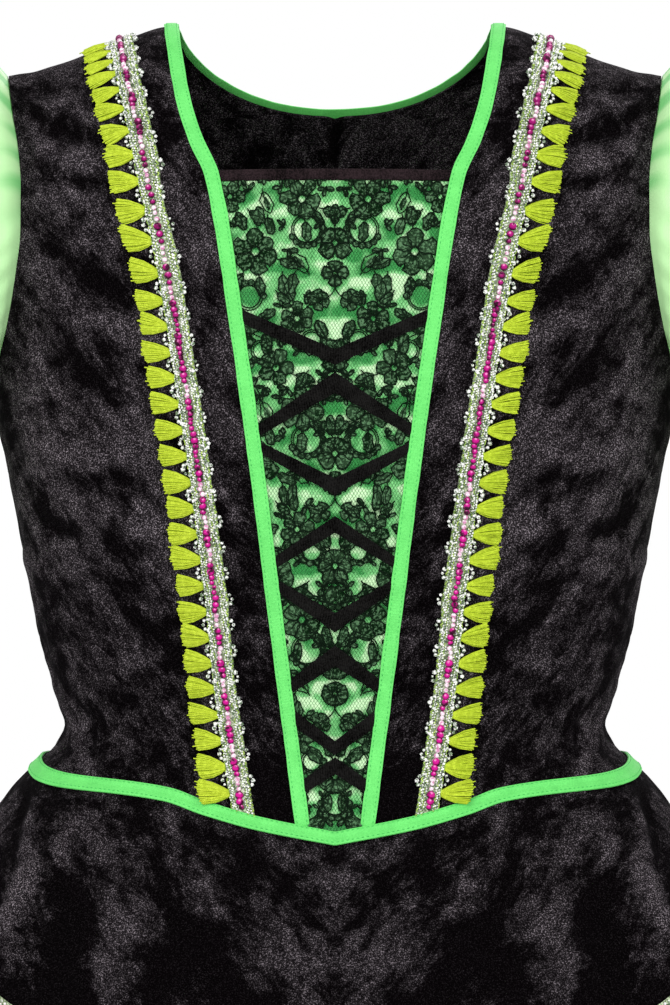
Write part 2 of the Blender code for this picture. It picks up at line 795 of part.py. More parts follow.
def sleeve_grids(side, thickness):
    """Returns the outer and inner grids of a puff sleeve, from its armhole to its cuff."""
    ring = armhole_ring(side)
    count = len(ring)
    lengths = [(ring[(k + 1) % count] - ring[k]).length for k in range(count)]
    total = sum(lengths)
    middle = sum(ring, Vector()) / count
    down = Vector((side * math.sin(SLEEVE_TILT), 0, -math.cos(SLEEVE_TILT)))
    outward = Vector((side * math.cos(SLEEVE_TILT), 0, math.sin(SLEEVE_TILT)))
    cuff = Vector((side * CUFF_MIDDLE.x, CUFF_MIDDLE.y, CUFF_MIDDLE.z))
    outer = [[] for _ in SLEEVE_SHARES]
    for k, edge in enumerate(ring):
        angle = math.tau * sum(lengths[:k]) / total
        radial = outward * math.cos(angle) + Vector((0, -1, 0)) * math.sin(angle)
        spoke = edge - middle
        spoke.x = 0
        spoke.normalize()
        under = UNDERARM_PUFF + (1 - UNDERARM_PUFF) * (1 + math.cos(angle)) / 2
        start = edge + Vector((side * SLEEVE_OFF, 0, 0))
        end = cuff + radial * CUFF_RADIUS
        leaving = Vector((side * LEAVE_OUTWARD, 0, 0)) + spoke * LEAVE_SPOKE * under
        leave = start + leaving * SLEEVE_PUFF * under
        arrive = end + (radial * ARRIVE_OUTSIDE * under - down * ARRIVE_ABOVE) * CUFF_PUFF * under
        gather = SLEEVE_GATHER * (1 if k % 2 else -1)
        for row, share in zip(outer, SLEEVE_SHARES):
            rest = 1 - share
            point = rest**3 * start + share**3 * end
            point += 3 * rest * share * (rest * leave + share * arrive)
            swell = math.sin(math.pi * share) ** 0.7 if 0 < share < 1 else 0.0
            puff = (spoke * rest + radial * share).normalized()
            row.append(point + puff * gather * swell)
    inner = []
    for i, row in enumerate(outer):
        above, below = outer[max(i - 1, 0)], outer[min(i + 1, len(outer) - 1)]
        line = []
        for k, point in enumerate(row):
            normal = (row[(k + 1) % count] - row[k - 1]).cross(below[k] - above[k]).normalized()
            centre = middle.lerp(cuff, SLEEVE_SHARES[i])
            if normal.dot(point - centre) < 0:
                normal = -normal
            line.append(point - normal * thickness)
        inner.append(line)
    return outer, inner


def make_sleeves(material):
    """Makes the two puff sleeves and their cuff bands."""
    for side, word in ((1, "left"), (-1, "right")):
        outer, inner = sleeve_grids(side, SATIN)
        wall(f"sleeve_{word}", material, outer, inner, closed=True)
        down = Vector((side * math.sin(SLEEVE_TILT), 0, -math.cos(SLEEVE_TILT)))
        band_outer, band_inner = [], []
        for drop in (SEAM, SEAM + CUFF_HEIGHT):
            band_outer.append([point + down * drop for point in outer[-1]])
            band_inner.append([point + down * drop for point in inner[-1]])
        wall(f"cuff_{word}", material, band_outer, band_inner, closed=True)


def main():
    """Makes every piece of the dress."""
    for old in list(bpy.data.objects):
        bpy.data.objects.remove(old, do_unlink=True)
    velvet = make_material("black_velvet", (0.012, 0.009, 0.013), 0.75)
    satin = make_material("green_satin", (0.16, 0.75, 0.2), 0.35)
    lace = make_material("black_lace", (0.02, 0.03, 0.02), 0.8)
    bias = make_material("green_bias_tape", (0.1, 0.9, 0.16), 0.5)
    ribbon = make_material("black_ribbon", (0.02, 0.017, 0.02), 0.7)
    beads = make_material("silver_braid", (0.62, 0.62, 0.6), 0.3, 0.4)
    threads = make_material("lime_threads", (0.55, 0.68, 0.04), 0.6)

    for side, word in ((1, "left"), (-1, "right")):
        make_panel(f"bodice_front_{word}", velvet, side, False)
        make_panel(f"bodice_back_{word}", velvet, side, True)
        make_fringe(f"fringe_{word}", threads, side)
    make_stomacher(satin, lace)
    make_binding(ribbon)
    for lacing in LACINGS:
        make_lacing(ribbon, lacing)
    make_edge_trims(bias)
    make_waist_trims(bias)
    make_braids(beads)
    make_sleeves(satin)
    make_skirt_pieces("peplum", velvet, peplum_point, VELVET, PEPLUM_FALLS, PEPLUM_FOLDS)
    make_hem_braids(beads)
    make_skirt_pieces("skirt", satin, skirt_point, SATIN, SKIRT_FALLS, SKIRT_FOLDS)


main()
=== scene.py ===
"""Looks of a child's witch costume dress, held open in the shape that it has when worn.

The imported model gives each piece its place, and the cut below repeats its sizes. Lengths
are in millimetres until a mesh is made. A turn is an angle round the body from the
centre front, in radians; a level is the way along the cloth from the chest line, up over
the shoulder or down; a lift is the way out of the velvet's face. The front faces -Y, +Z
is up, and left is the dress's own left, at +X.
"""

from __future__ import annotations

import logging
import math
from collections.abc import Callable, Mapping, Sequence
from dataclasses import dataclass, field
from enum import Enum

import bpy
import numpy as np
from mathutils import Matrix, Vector

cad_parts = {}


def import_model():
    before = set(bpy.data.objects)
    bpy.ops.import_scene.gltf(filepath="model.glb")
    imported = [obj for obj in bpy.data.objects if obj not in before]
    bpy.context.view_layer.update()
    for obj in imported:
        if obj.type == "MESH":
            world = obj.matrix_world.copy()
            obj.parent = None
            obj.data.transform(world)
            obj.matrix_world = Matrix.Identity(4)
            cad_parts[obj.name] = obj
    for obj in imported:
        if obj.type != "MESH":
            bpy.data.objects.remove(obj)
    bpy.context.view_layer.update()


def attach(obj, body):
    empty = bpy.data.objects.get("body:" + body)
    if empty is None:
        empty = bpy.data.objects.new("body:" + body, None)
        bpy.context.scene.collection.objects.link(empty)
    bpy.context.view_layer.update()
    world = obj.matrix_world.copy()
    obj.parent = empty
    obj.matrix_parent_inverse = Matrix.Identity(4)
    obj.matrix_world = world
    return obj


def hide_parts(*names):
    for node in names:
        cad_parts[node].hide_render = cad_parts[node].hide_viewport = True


LOG = logging.getLogger("dress")
MM = 0.001
QUARTER = math.pi / 2
SEAM = 0.3  # the gap between cloths that are sewn together
REST = 0.5  # how far out of the velvet's face a trim's underside lies
FAR = 99.0  # further than any seam reaches
Array = np.ndarray
Number = np.ndarray | float
Colour = tuple[float, float, float]
Piece = bpy.types.Object
Node = bpy.types.Node
Socket = bpy.types.NodeSocket
Sockets = bpy.types.bpy_prop_collection
Tree = bpy.types.NodeTree


class Named(Enum):
    """A choice whose name is a word in the names of pieces and nodes."""

    @property
    def word(self) -> str:
        """The choice's name in lower case."""
        return self.name.lower()


class Side(Named):
    """The dress's own side that a piece is on."""

    LEFT = 1
    RIGHT = -1


class Half(Named):
    """The half that a piece is on, and the turn of its middle."""

    FRONT = 0.0
    BACK = math.pi

    def turns(self, steps: int) -> Array:
        """Lists even turns over the half, from side seam to side seam."""
        return np.linspace(self.value - QUARTER, self.value + QUARTER, steps)


class Hold(Enum):
    """How a sheet of cloth is held in its shape."""

    DRAPED = "draped"
    HUNG = "hung"
    GATHERED = "gathered"
    STRETCHED = "stretched"


@dataclass(frozen=True)
class Profile:
    """A smooth line through a table's keys and one column of its values, that never overshoots."""

    rows: tuple[tuple[float, ...], ...]
    column: int = 1

    def __call__(self, at: Number) -> Array:
        """Reads the line.

        Args:
            at: The keys to read it at, held inside the first and last key.

        Returns:
            The value at each key.
        """
        keys, values = np.array(self.rows, float).T[[0, self.column]]
        steps = np.diff(values) / np.diff(keys)
        before, after = steps[:-1], steps[1:]
        same = before * after > 0
        inner = np.where(same, 2 * before * after / np.where(same, before + after, 1.0), 0.0)
        slopes = np.concatenate((steps[:1], inner, steps[-1:]))
        at = np.clip(at, keys[0], keys[-1])
        row = np.clip(np.searchsorted(keys, at, side="right") - 1, 0, len(steps) - 1)
        span = np.diff(keys)[row]
        t = (at - keys[row]) / span
        ends = values[row] * (1 + 2 * t) * (1 - t) ** 2 + values[row + 1] * t * t * (3 - 2 * t)
        return ends + span * t * (1 - t) * (slopes[row] * (1 - t) - slopes[row + 1] * t)


def smooth(value: Array, low: float, high: float) -> Array:
    """Eases a value from 0 at low to 1 at high."""
    t = np.clip((value - low) / (high - low), 0.0, 1.0)
    return t * t * (3 - 2 * t)


def unit(vectors: Array) -> Array:
    """Makes vectors one long."""
    return vectors / np.maximum(np.linalg.norm(vectors, axis=-1, keepdims=True), 1e-9)


def ring(turn: Array, half_width: Array, depth: Array, roundness: Number) -> tuple[Array, Array]:
    """Finds x and y on a rounded section.

    Args:
        turn: Turns from the centre front.
        half_width: Half the section's width at each turn.
        depth: The section's reach to the front or back at each turn.
        roundness: The section's power, 2 for an ellipse.

    Returns:
        The x and the y of each point.
    """
    across, along = np.sin(turn), np.cos(turn)
    reach = (np.abs(across) / half_width) ** roundness + (np.abs(along) / depth) ** roundness
    radius = reach ** (-1 / roundness)
    return radius * across, -radius * along


def ripples(points: Array, wavelength: float, seed: int, waves: int = 14) -> Array:
    """Sums plane waves into a soft uneven field, about -1 to 1.

    Args:
        points: Places, in any number of dimensions.
        wavelength: The middle length of the waves.
        seed: What the waves' directions are drawn from.
        waves: How many waves there are.

    Returns:
        The field at each place.
    """
    draw = np.random.default_rng(seed)
    total = np.zeros(points.shape[:-1])
    for _ in range(waves):
        direction = draw.normal(size=points.shape[-1])
        direction *= 2 * math.pi / (wavelength * draw.uniform(0.6, 1.5)) / np.linalg.norm(direction)
        total += np.sin(points @ direction + draw.uniform(0, 2 * math.pi))
    return total / math.sqrt(waves)


def facing_out(grid: Array, around: bool = False, middle: Array | None = None) -> Array:
    """Finds a grid's normals, pointing away from a middle line.

    Args:
        grid: Rows of points.
        around: Whether each row closes on itself.
        middle: The point that each row goes round, or None for the Z axis.

    Returns:
        A unit normal for each point.
    """
    if around:
        wide = np.concatenate((grid[:, -1:], grid, grid[:, :1]), axis=1)
        across = (wide[:, 2:] - wide[:, :-2]) / 2
    else:
        across = np.gradient(grid, axis=1)
    normal = unit(np.cross(across, np.gradient(grid, axis=0)))
    away = grid * np.array((1, 1, 0)) if middle is None else grid - middle[:, None]
    return normal * np.sign(np.sum(normal * away))


@dataclass(frozen=True)
class Crease:
    """One soft trough or ridge.

    The two ends are given as degrees round the body and heights; depth is negative for a
    trough, and bow moves the line's middle sideways.
    """

    from_degrees: float
    from_height: float
    to_degrees: float
    to_height: float
    depth: float
    width: float
    bow: float


@dataclass(frozen=True)
class Relief:
    """The creases of one cloth, alike on both sides of the body."""

    creases: tuple[Crease, ...]
    per_degree: float
    crush: float
    crush_length: float
    seed: int

    def __call__(self, turn: Array, height: Array) -> Array:
        """Finds how far the creases lift the cloth.

        Args:
            turn: Turns from the centre front.
            height: Heights.

        Returns:
            The lift at each place.
        """
        x = np.degrees(np.abs(turn)) * self.per_degree
        z = np.broadcast_to(height, x.shape)
        total = self.crush * ripples(np.stack((x, z), -1), self.crush_length, self.seed)
        for c in self.creases:
            ax, bx = c.from_degrees * self.per_degree, c.to_degrees * self.per_degree
            dx, dz = bx - ax, c.to_height - c.from_height
            length = math.hypot(dx, dz)
            t = np.clip(((x - ax) * dx + (z - c.from_height) * dz) / length**2, 0.0, 1.0)
            bow = 4 * c.bow * t * (1 - t) / length
            away = np.hypot(x - ax - t * dx + bow * dz, z - c.from_height - t * dz - bow * dx)
            total += c.depth * (0.35 + 0.65 * np.sin(math.pi * t)) * np.exp(-((away / c.width) ** 2))
        return total


SECTIONS = (
    # height, half width, depth in front, depth behind
    (-345, 141, 87, 88), (-322, 133, 80, 82), (-308, 124, 76, 77), (-301, 117, 73.5, 74),
    (-293, 113.5, 72.5, 71.5), (-283, 116.5, 73, 72), (-251, 125, 77, 74), (-213, 132, 83, 80),
    (-182, 138, 87, 85), (-157, 143, 89, 88), (-110, 146, 86, 88),
)


@dataclass(frozen=True)
class Figure:
    """The general figure that carries the cloth."""

    half_width: Profile = Profile(SECTIONS)
    front: Profile = Profile(SECTIONS, 2)
    back: Profile = Profile(SECTIONS, 3)
    shoulder: Profile = Profile(((0, 0), (70, 0), (85, -4.5), (105, -12), (120, -17), (150, -23)))
    chest: float = -110.0
    shoulder_arc: float = 138.0
    roundness: float = 2.6
    girth: float = 125.0

    def depth(self, turn: Array, height: Array) -> Array:
        """Reads the half depth on the side, front or back, that each turn looks to."""
        return np.where(np.cos(turn) > 0, self.front(height), self.back(height))

    def point(self, turn: Array, level: Array, lift: Number = 0.0) -> Array:
        """Finds points of the figure.

        Args:
            turn: Turns from the centre front.
            level: Levels along the cloth.
            lift: How far out of the figure the points lie.

        Returns:
            An array of points.
        """
        turn, level, lift = np.broadcast_arrays(turn, level, lift)
        z = self.chest + np.minimum(level, 0.0)
        depth = self.depth(turn, z) + lift
        x, y = ring(turn, self.half_width(z) + lift, depth, self.roundness)
        over = np.maximum(level, 0.0) / self.shoulder_arc * QUARTER
        top = self.shoulder(np.abs(x)) + lift
        z = np.where(level > 0, self.chest + (top - self.chest) * np.sin(over), z)
        return np.stack((x, y * np.cos(over), z), -1)

    def turn_at(self, across: Array, level: Array, back: bool = False) -> Array:
        """Finds the turn at which the figure lies a way across from the middle.

        Args:
            across: The way across, negative on the right.
            level: Levels along the cloth.
            back: Whether the place is on the back.

        Returns:
            A turn for each place.
        """
        z = self.chest + np.minimum(level, 0.0)
        share = np.minimum(np.abs(across) / self.half_width(z), 1.0)
        depth = self.back(z) if back else self.front(z)
        along = depth * (1 - share**self.roundness) ** (1 / self.roundness)
        return np.copysign(np.arctan2(np.abs(across), -along if back else along), across)

    def cap_level(self, across: Array, height: Array) -> Array:
        """Finds the level of a place on the cap over the shoulders."""
        rise = (height - self.chest) / (self.shoulder(np.abs(across)) - self.chest)
        return np.arcsin(np.minimum(rise, 1.0)) / QUARTER * self.shoulder_arc


BODICE_CREASES = tuple(Crease(*row) for row in (
    (72, -26, 60, -30, -1.6, 3.5, 1), (70, -30, 60, -38, 1.5, 3.5, 1), (68, -36, 52, -55, -2.3, 4.5, 2),
    (68, -47, 51, -68, 1.8, 4.5, 3), (60, -62, 54, -73, -2, 3.5, 1), (67, -70, 48, -86, 1.5, 6.5, 3),
    (63, -94, 60, -102, -1.6, 4.5, 0), (55, -104, 46, -124, -2.6, 6, 2), (65, -112, 45, -134, 1.7, 6.5, 4),
    (65, -130, 59, -146, -1.9, 5, 1), (56, -142, 49, -158, -1.7, 4.5, 2), (74, -168, 48, -188, 1.5, 6.5, 4),
    (51, -189, 44, -201, -1.6, 4.5, 1), (70, -206, 60, -215, -2.4, 5, 2), (56, -206, 40, -217, 1.2, 6, 2),
    (54, -247, 43, -263, -1.9, 4.5, 2), (86, -222, 64, -231, 1.3, 5, 2), (79, -284, 64, -309, 1.3, 2, 2),
    (70, -280, 61, -311, -1.3, 2.5, 2), (86, -270, 80, -306, -1.2, 3, 1), (58, -284, 52, -314, 0.9, 3.5, 1),
    (44, -34, 32, -65, -1.9, 3, 2), (45, -45, 35, -72, -1.4, 2.5, 2), (41, -70, 34, -88, 1.3, 4.5, 1),
    (31, -122, 27, -138, -1.2, 4.5, 1), (30, -190, 21, -218, 1.3, 3.5, 2), (31, -238, 20, -246, -1.4, 3.5, 1),
    (30, -270, 18, -260, 1.2, 3, 1), (98, -118, 128, -172, -1.8, 6, 4), (102, -146, 130, -206, 1.6, 6, -4),
    (112, -186, 152, -232, -1.7, 6, -3), (96, -214, 118, -262, 1.4, 5, 3),
    (104, -236, 120, -300, -1.4, 4.5, 3), (128, -226, 140, -298, 1.4, 4.5, 3),
    (150, -206, 158, -294, -1.6, 5, -3), (162, -236, 170, -286, 1.2, 4.5, 2),
    (114, -36, 146, -84, -1.9, 6, 4), (118, -58, 156, -118, 1.7, 6.5, 3), (132, -96, 166, -140, -1.5, 6, 4),
    (142, -148, 174, -178, 1.3, 6, 3),
))


@dataclass(frozen=True)
class Cut:
    """The dress's seams and edges on the figure; each edge gives ways from the middle by height."""

    figure: Figure = Figure()
    relief: Relief = Relief(BODICE_CREASES, per_degree=1.9, crush=0.22, crush_length=13.0, seed=5)
    front_edge: Profile = Profile((
        (-340, 12.2), (-298, 17.8), (-245, 24.5), (-187, 31.7), (-129, 39.8), (-66, 50.3), (-51, 57),
        (-35, 62.2), (-11, 66.8), (0, 68.6),
    ))
    armhole: Profile = Profile((
        (-157, 143), (-150, 141.6), (-138, 139), (-127, 136), (-105, 132), (-87, 130), (-69, 130),
        (-52, 131.5), (-39, 134), (-20, 137),
    ))
    braid_line: Profile = Profile((
        (-330, 36.6), (-307, 40.2), (-281, 44), (-235, 48.7), (-187, 54.8), (-142, 61.5), (-107, 67),
        (-73, 74.2), (-40, 81.2), (-8, 88.4),
    ))
    front_waist: Profile = Profile((
        (0, -337.2), (21, -331), (34, -325), (43, -319.5), (52, -317), (66, -314.6), (73, -312.6),
        (81, -309.8), (90, -308),
    ))
    side_waist: float = -308.0
    back_waist_dip: float = 5.0
    armpit: float = -157.0
    neckline: float = -63.7
    back_neck_drop: float = 34.0
    back_neck_reach: float = 68.6
    back_neck_across: float = 2.2
    back_neck_down: float = 1.5
    rounds: int = 8

    def waist(self, turn: Array) -> Array:
        """Finds the height of the waist seam, which dips to a point at the centre front.

        Args:
            turn: Turns from the centre front.

        Returns:
            A height for each turn.
        """
        degrees = np.degrees(np.abs(np.arcsin(np.sin(turn))))
        behind = self.side_waist - self.back_waist_dip * np.cos(turn) ** 2
        return np.where(np.cos(turn) > 0, self.front_waist(degrees), behind)

    def armpit_row(self) -> float:
        """Finds the row at which the side seam ends."""
        chest = self.figure.chest
        return 1 - (chest - self.armpit) / (chest - self.side_waist)

    def row_level(self, row: Array, turn: Array) -> Array:
        """Finds the level of a row: 0 at the waist, 1 at the chest, 2 at the shoulder seam."""
        below = (self.waist(turn) + SEAM - self.figure.chest) * (1 - row)
        return np.where(row <= 1, below, (row - 1) * self.figure.shoulder_arc)

    def back_edge(self, height: Array) -> Array:
        """Finds how far the back neck's edge lies from the middle."""
        down = np.clip(-height / self.back_neck_drop, 0.0, 1.0)
        return self.back_neck_reach * (1 - down**self.back_neck_down) ** (1 / self.back_neck_across)

    def back_neck_height(self, across: Array) -> Array:
        """Finds the height of the back neckline at a way from the middle."""
        share = np.minimum(across / self.back_neck_reach, 1.0)
        return -self.back_neck_drop * (1 - share**self.back_neck_across) ** (1 / self.back_neck_down)

    def turn_of_edge(self, edge: Callable[[Array], Array], row: Array, back: bool) -> Array:
        """Finds where rows meet an edge that is given as a function of height.

        Args:
            edge: How far the edge lies from the middle at a height.
            row: The rows.
            back: Whether the edge is on the back.

        Returns:
            A turn for each row.
        """
        turn = np.full(np.shape(row), math.pi - 0.4 if back else 0.4)
        for _ in range(self.rounds):
            level = self.row_level(row, turn)
            turn = self.figure.turn_at(edge(self.figure.point(turn, level)[..., 2]), level, back)
        return turn

    def creased(self, turn: Array, level: Array) -> Array:
        """Finds the creases' lift on the bodice, which dies out at the edges and the waist.

        Args:
            turn: Turns from the centre front.
            level: Levels along the cloth.

        Returns:
            The lift at each place.
        """
        place = self.figure.point(turn, level)
        across, height = np.abs(place[..., 0]), place[..., 2]
        front = np.cos(turn) > 0
        inner = np.where(front, across - self.front_edge(height) - 3, across - self.back_edge(height) - 3)
        inner = np.where(~front & (height < -self.back_neck_drop), FAR, inner)
        arm = np.where(height > self.armpit, self.armhole(height) - across, FAR)
        fade = smooth(inner, 0, 9) * smooth(arm, 1, 9) * smooth(height - self.waist(turn), 1, 9)
        return self.relief(turn, height) * fade

    def velvet(self, turn: Array, level: Array, lift: Number = 0.0) -> Array:
        """Finds points over the creased velvet of the bodice."""
        return self.figure.point(turn, level, lift + self.creased(turn, level))

    def front(self, across: Array, height: Array, lift: Number) -> Array:
        """Finds points of the flat front, given as it is seen from the front.

        Args:
            across: The way across from the middle.
            height: The height, below the neckline.
            lift: How far out of the velvet's face the points lie.

        Returns:
            An array of points.
        """
        figure = self.figure
        cap = figure.cap_level(across, np.maximum(height, figure.chest))
        level = np.where(height < figure.chest, height - figure.chest, cap)
        return figure.point(figure.turn_at(across, level), level, lift)


class Graph:
    """Adds nodes to one tree and joins them."""

    def __init__(self, tree: Tree) -> None:
        """Starts on a tree."""
        self.tree = tree

    def fit(self, node: Node, inputs: Mapping[str | int, object]) -> None:
        """Gives a node's inputs their sockets or plain values.

        Args:
            node: The node.
            inputs: Sockets or plain values for its inputs, by name or number.
        """
        for name, value in inputs.items():
            if isinstance(value, Socket):
                self.tree.links.new(value, node.inputs[name])
            else:
                node.inputs[name].default_value = value

    def add(self, kind: str, inputs: Mapping[str | int, object] | None = None, **settings: object) -> Node:
        """Adds a node.

        Args:
            kind: The node's type.
            inputs: Sockets or plain values for its inputs, by name or number.
            settings: Values for the node's own properties.

        Returns:
            The node.
        """
        node = self.tree.nodes.new(kind)
        for name, value in settings.items():
            setattr(node, name, value)
        self.fit(node, inputs or {})
        return node

    def get(
        self, kind: str, inputs: Mapping | None = None, output: str | int = 0, **settings: object
    ) -> Socket:
        """Adds a node and returns one of its outputs."""
        return self.add(kind, inputs, **settings).outputs[output]

    def math(self, operation: str, *values: object) -> Socket:
        """Adds a Math node in either kind of tree and returns its result."""
        return self.get("ShaderNodeMath", dict(enumerate(values)), operation=operation)

    def plus(self, *values: object) -> Socket:
        """Adds two values."""
        return self.math("ADD", *values)

    def times(self, *values: object) -> Socket:
        """Multiplies two values."""
        return self.math("MULTIPLY", *values)

    def remap(self, value: object, low: float, high: float, to: tuple[float, float] = (0, 1)) -> Socket:
        """Eases a value from one range to another and returns the result."""
        inputs = {"Value": value, "From Min": low, "From Max": high, "To Min": to[0], "To Max": to[1]}
        return self.get("ShaderNodeMapRange", inputs, interpolation_type="SMOOTHSTEP")

    def blend(self, share: object, first: object, second: object) -> Socket:
        """Mixes two colours and returns the result."""
        first, second = (v if isinstance(v, Socket) else (*v, 1.0) for v in (first, second))
        return self.get("ShaderNodeMix", {0: share, 6: first, 7: second}, 2, data_type="RGBA")

    def noise(
        self, place: object, scale: object, detail: float = 3.0, rough: float = 0.6, swirl: float = 0.0
    ) -> Socket:
        """Adds a noise texture and returns its value."""
        inputs = {"Vector": place, "Scale": scale, "Detail": detail, "Roughness": rough, "Distortion": swirl}
        return self.get("ShaderNodeTexNoise", inputs, "Fac")

    def split(self, vector: Socket) -> Sockets:
        """Splits a vector and returns its parts X, Y and Z."""
        return self.add("ShaderNodeSeparateXYZ", {0: vector}).outputs

    def attribute(self, name: str, output: str = "Fac") -> Socket:
        """Reads an attribute of the mesh."""
        return self.get("ShaderNodeAttribute", None, output, attribute_name=name)


Fill = Callable[[Graph, Sockets], Mapping[str, Socket]]


def shader_group(name: str, inputs: Mapping[str, float], fill: Fill) -> Tree:
    """Finds or makes a shader node group.

    Args:
        name: The group's name.
        inputs: Its float inputs and their usual values; a Vector input always comes first.
        fill: Adds its nodes to a graph, and returns its float outputs by name.

    Returns:
        The group.
    """
    tree = bpy.data.node_groups.get(name)
    if tree is not None:
        return tree
    tree = bpy.data.node_groups.new(name, "ShaderNodeTree")
    tree.interface.new_socket("Vector", in_out="INPUT", socket_type="NodeSocketVector")
    for label, value in inputs.items():
        tree.interface.new_socket(label, in_out="INPUT", socket_type="NodeSocketFloat").default_value = value
    graph = Graph(tree)
    made = fill(graph, graph.add("NodeGroupInput").outputs)
    for label in made:
        tree.interface.new_socket(label, in_out="OUTPUT", socket_type="NodeSocketFloat")
    graph.add("NodeGroupOutput", made)
    return tree


def weave(graph: Graph, given: Sockets) -> dict[str, Socket]:
    """Adds a plain weave: fine crossed threads, and slow unevenness.

    Args:
        graph: The group's graph.
        given: Its inputs.

    Returns:
        The group's outputs.
    """
    place = graph.split(given["Vector"])
    turns = graph.times(given["Threads"], 2 * math.pi)
    waves = [graph.math("ABSOLUTE", graph.math("SINE", graph.times(place[axis], turns))) for axis in "XZ"]
    drift = graph.noise(given["Vector"], given["Drift scale"], rough=0.5)
    return {"Height": graph.math("MAXIMUM", *waves), "Drift": drift}


def crushed_pile(graph: Graph, given: Sockets) -> dict[str, Socket]:
    """Adds a crushed pile: slanted streaks that lean one way, and fine painted glints on the pile tips.

    The streaks run down towards the middle, alike on both sides in front, but not at the back.

    Args:
        graph: The group's graph.
        given: Its inputs.

    Returns:
        The group's outputs.
    """
    parts = graph.split(given["Vector"])
    out = graph.math("ABSOLUTE", parts["X"])
    along = graph.plus(graph.times(out, given["Slant"]), parts["Z"])
    across = graph.math("SUBTRACT", out, graph.times(parts["Z"], given["Slant"]))
    depth = graph.plus(parts["Y"], graph.times(parts["X"], graph.remap(parts["Y"], 0.0, 0.06, (0.0, 0.8))))
    streak = {"X": graph.times(along, given["Stretch"]), "Y": depth, "Z": across}
    place = graph.get("ShaderNodeCombineXYZ", streak)
    patch = graph.remap(graph.noise(place, given["Patch scale"], 4.0, 0.6, 0.5), 0.3, 0.7)
    clump = graph.remap(graph.noise(place, given["Clump scale"], 3.0, 0.65, 0.8), 0.3, 0.7)
    lean = graph.plus(graph.times(patch, 0.6), graph.times(clump, 0.4))
    # Fine specks where the pile's tips get painted glints.
    tips = graph.remap(graph.noise(given["Vector"], given["Tip scale"], 2.0, 0.7), 0.49, 0.7)
    return {"Lean": lean, "Tips": tips, "Height": graph.plus(graph.times(tips, 0.5), lean)}


class Surface(Graph):
    """The nodes of one new material, round its Principled shader."""

    def __init__(self, material: bpy.types.Material) -> None:
        """Starts on a material, with its Object coordinates.

        Args:
            material: The material, which gets its nodes.
        """
        material.use_nodes = True
        super().__init__(material.node_tree)
        self.shader = self.tree.nodes["Principled BSDF"]
        self.place = self.get("ShaderNodeTexCoord", None, "Object")

    def effect(self, tree: Tree, inputs: Mapping[str, float]) -> Sockets:
        """Places a node group on the surface, with its own values, and returns its outputs."""
        return self.add("ShaderNodeGroup", {"Vector": self.place, **inputs}, node_tree=tree).outputs


@dataclass(frozen=True)
class Finish:
    """The finish of one material, with its constant values on the shader's own sockets."""

    name: str
    slot: str
    colour: Colour
    roughness: float = 0.6
    specular: float = 0.5
    metallic: float = 0.0
    sheen: float = 0.0
    sheen_tint: Colour = (1.0, 1.0, 1.0)
    bump: float = 0.0
    bump_depth: float = 0.0002
    shade: Colour = (0.0, 0.0, 0.0)

    def material(self) -> bpy.types.Material:
        """Finds or makes the material.

        Returns:
            The material, with this finish's nodes.
        """
        material = bpy.data.materials.get(self.name)
        if material is None:
            material = bpy.data.materials.new(self.name)
            on = Surface(material)
            on.fit(on.shader, {
                "Base Color": (*self.colour, 1.0),
                "Roughness": self.roughness,
                "Specular IOR Level": self.specular,
                "Metallic": self.metallic,
                "Sheen Weight": self.sheen,
                "Sheen Tint": (*self.sheen_tint, 1.0),
            })
            on.fit(on.shader, self.paint(on))
        return material

    def paint(self, on: Surface) -> dict[str, Socket | float]:
        """Adds this finish's own nodes, and returns what the shader's inputs take from them."""
        raise NotImplementedError

    def bumped(self, on: Surface, height: Socket) -> Socket:
        """Makes a normal from a height, through this finish's bump."""
        inputs = {"Height": height, "Strength": self.bump, "Distance": self.bump_depth}
        return on.get("ShaderNodeBump", inputs)


@dataclass(frozen=True)
class VelvetFinish(Finish):
    """Crushed velvet: near black, with grey-violet painted glints on the pile tips, in crushed patches and in
    painted light and shade that follow the folds.
    """

    # The colour of the painted glints on the pile's tips; folds weighs the painted light and shade of the
    # folds, and patches the crushed patches.
    tips: Colour = (0.36, 0.31, 0.345)
    folds: float = 0.42
    patches: float = 0.95

    def paint(self, on: Surface) -> dict[str, Socket | float]:
        """Adds the crushed pile, with painted glints, a painted highlight on ridges and painted shade in
        troughs.

        Args:
            on: The material's surface.

        Returns:
            What the shader's inputs take.
        """
        usual = {"Patch scale": 46.0, "Clump scale": 170.0, "Tip scale": 1900.0}
        usual |= {"Stretch": 0.42, "Slant": 0.85}
        pile = on.effect(shader_group("Crushed pile", usual, crushed_pile), {})
        # Painted light and shade (a painted highlight on ridges and upward slopes, painted shade in troughs
        # and seams) sets, with the crushed patches, how bright the painted glints are.
        lean = on.plus(on.times(on.attribute("painted_light"), self.folds), on.times(pile["Lean"], self.patches))
        lit = on.remap(lean, 0.16, 1.13, (0.03, 1.0))
        speckle = on.times(on.remap(pile["Tips"], 0.0, 1.0, (0.04, 1.0)), lit)
        colour = on.blend(speckle, self.colour, self.tips)
        return {"Base Color": colour, "Normal": self.bumped(on, pile["Height"])}


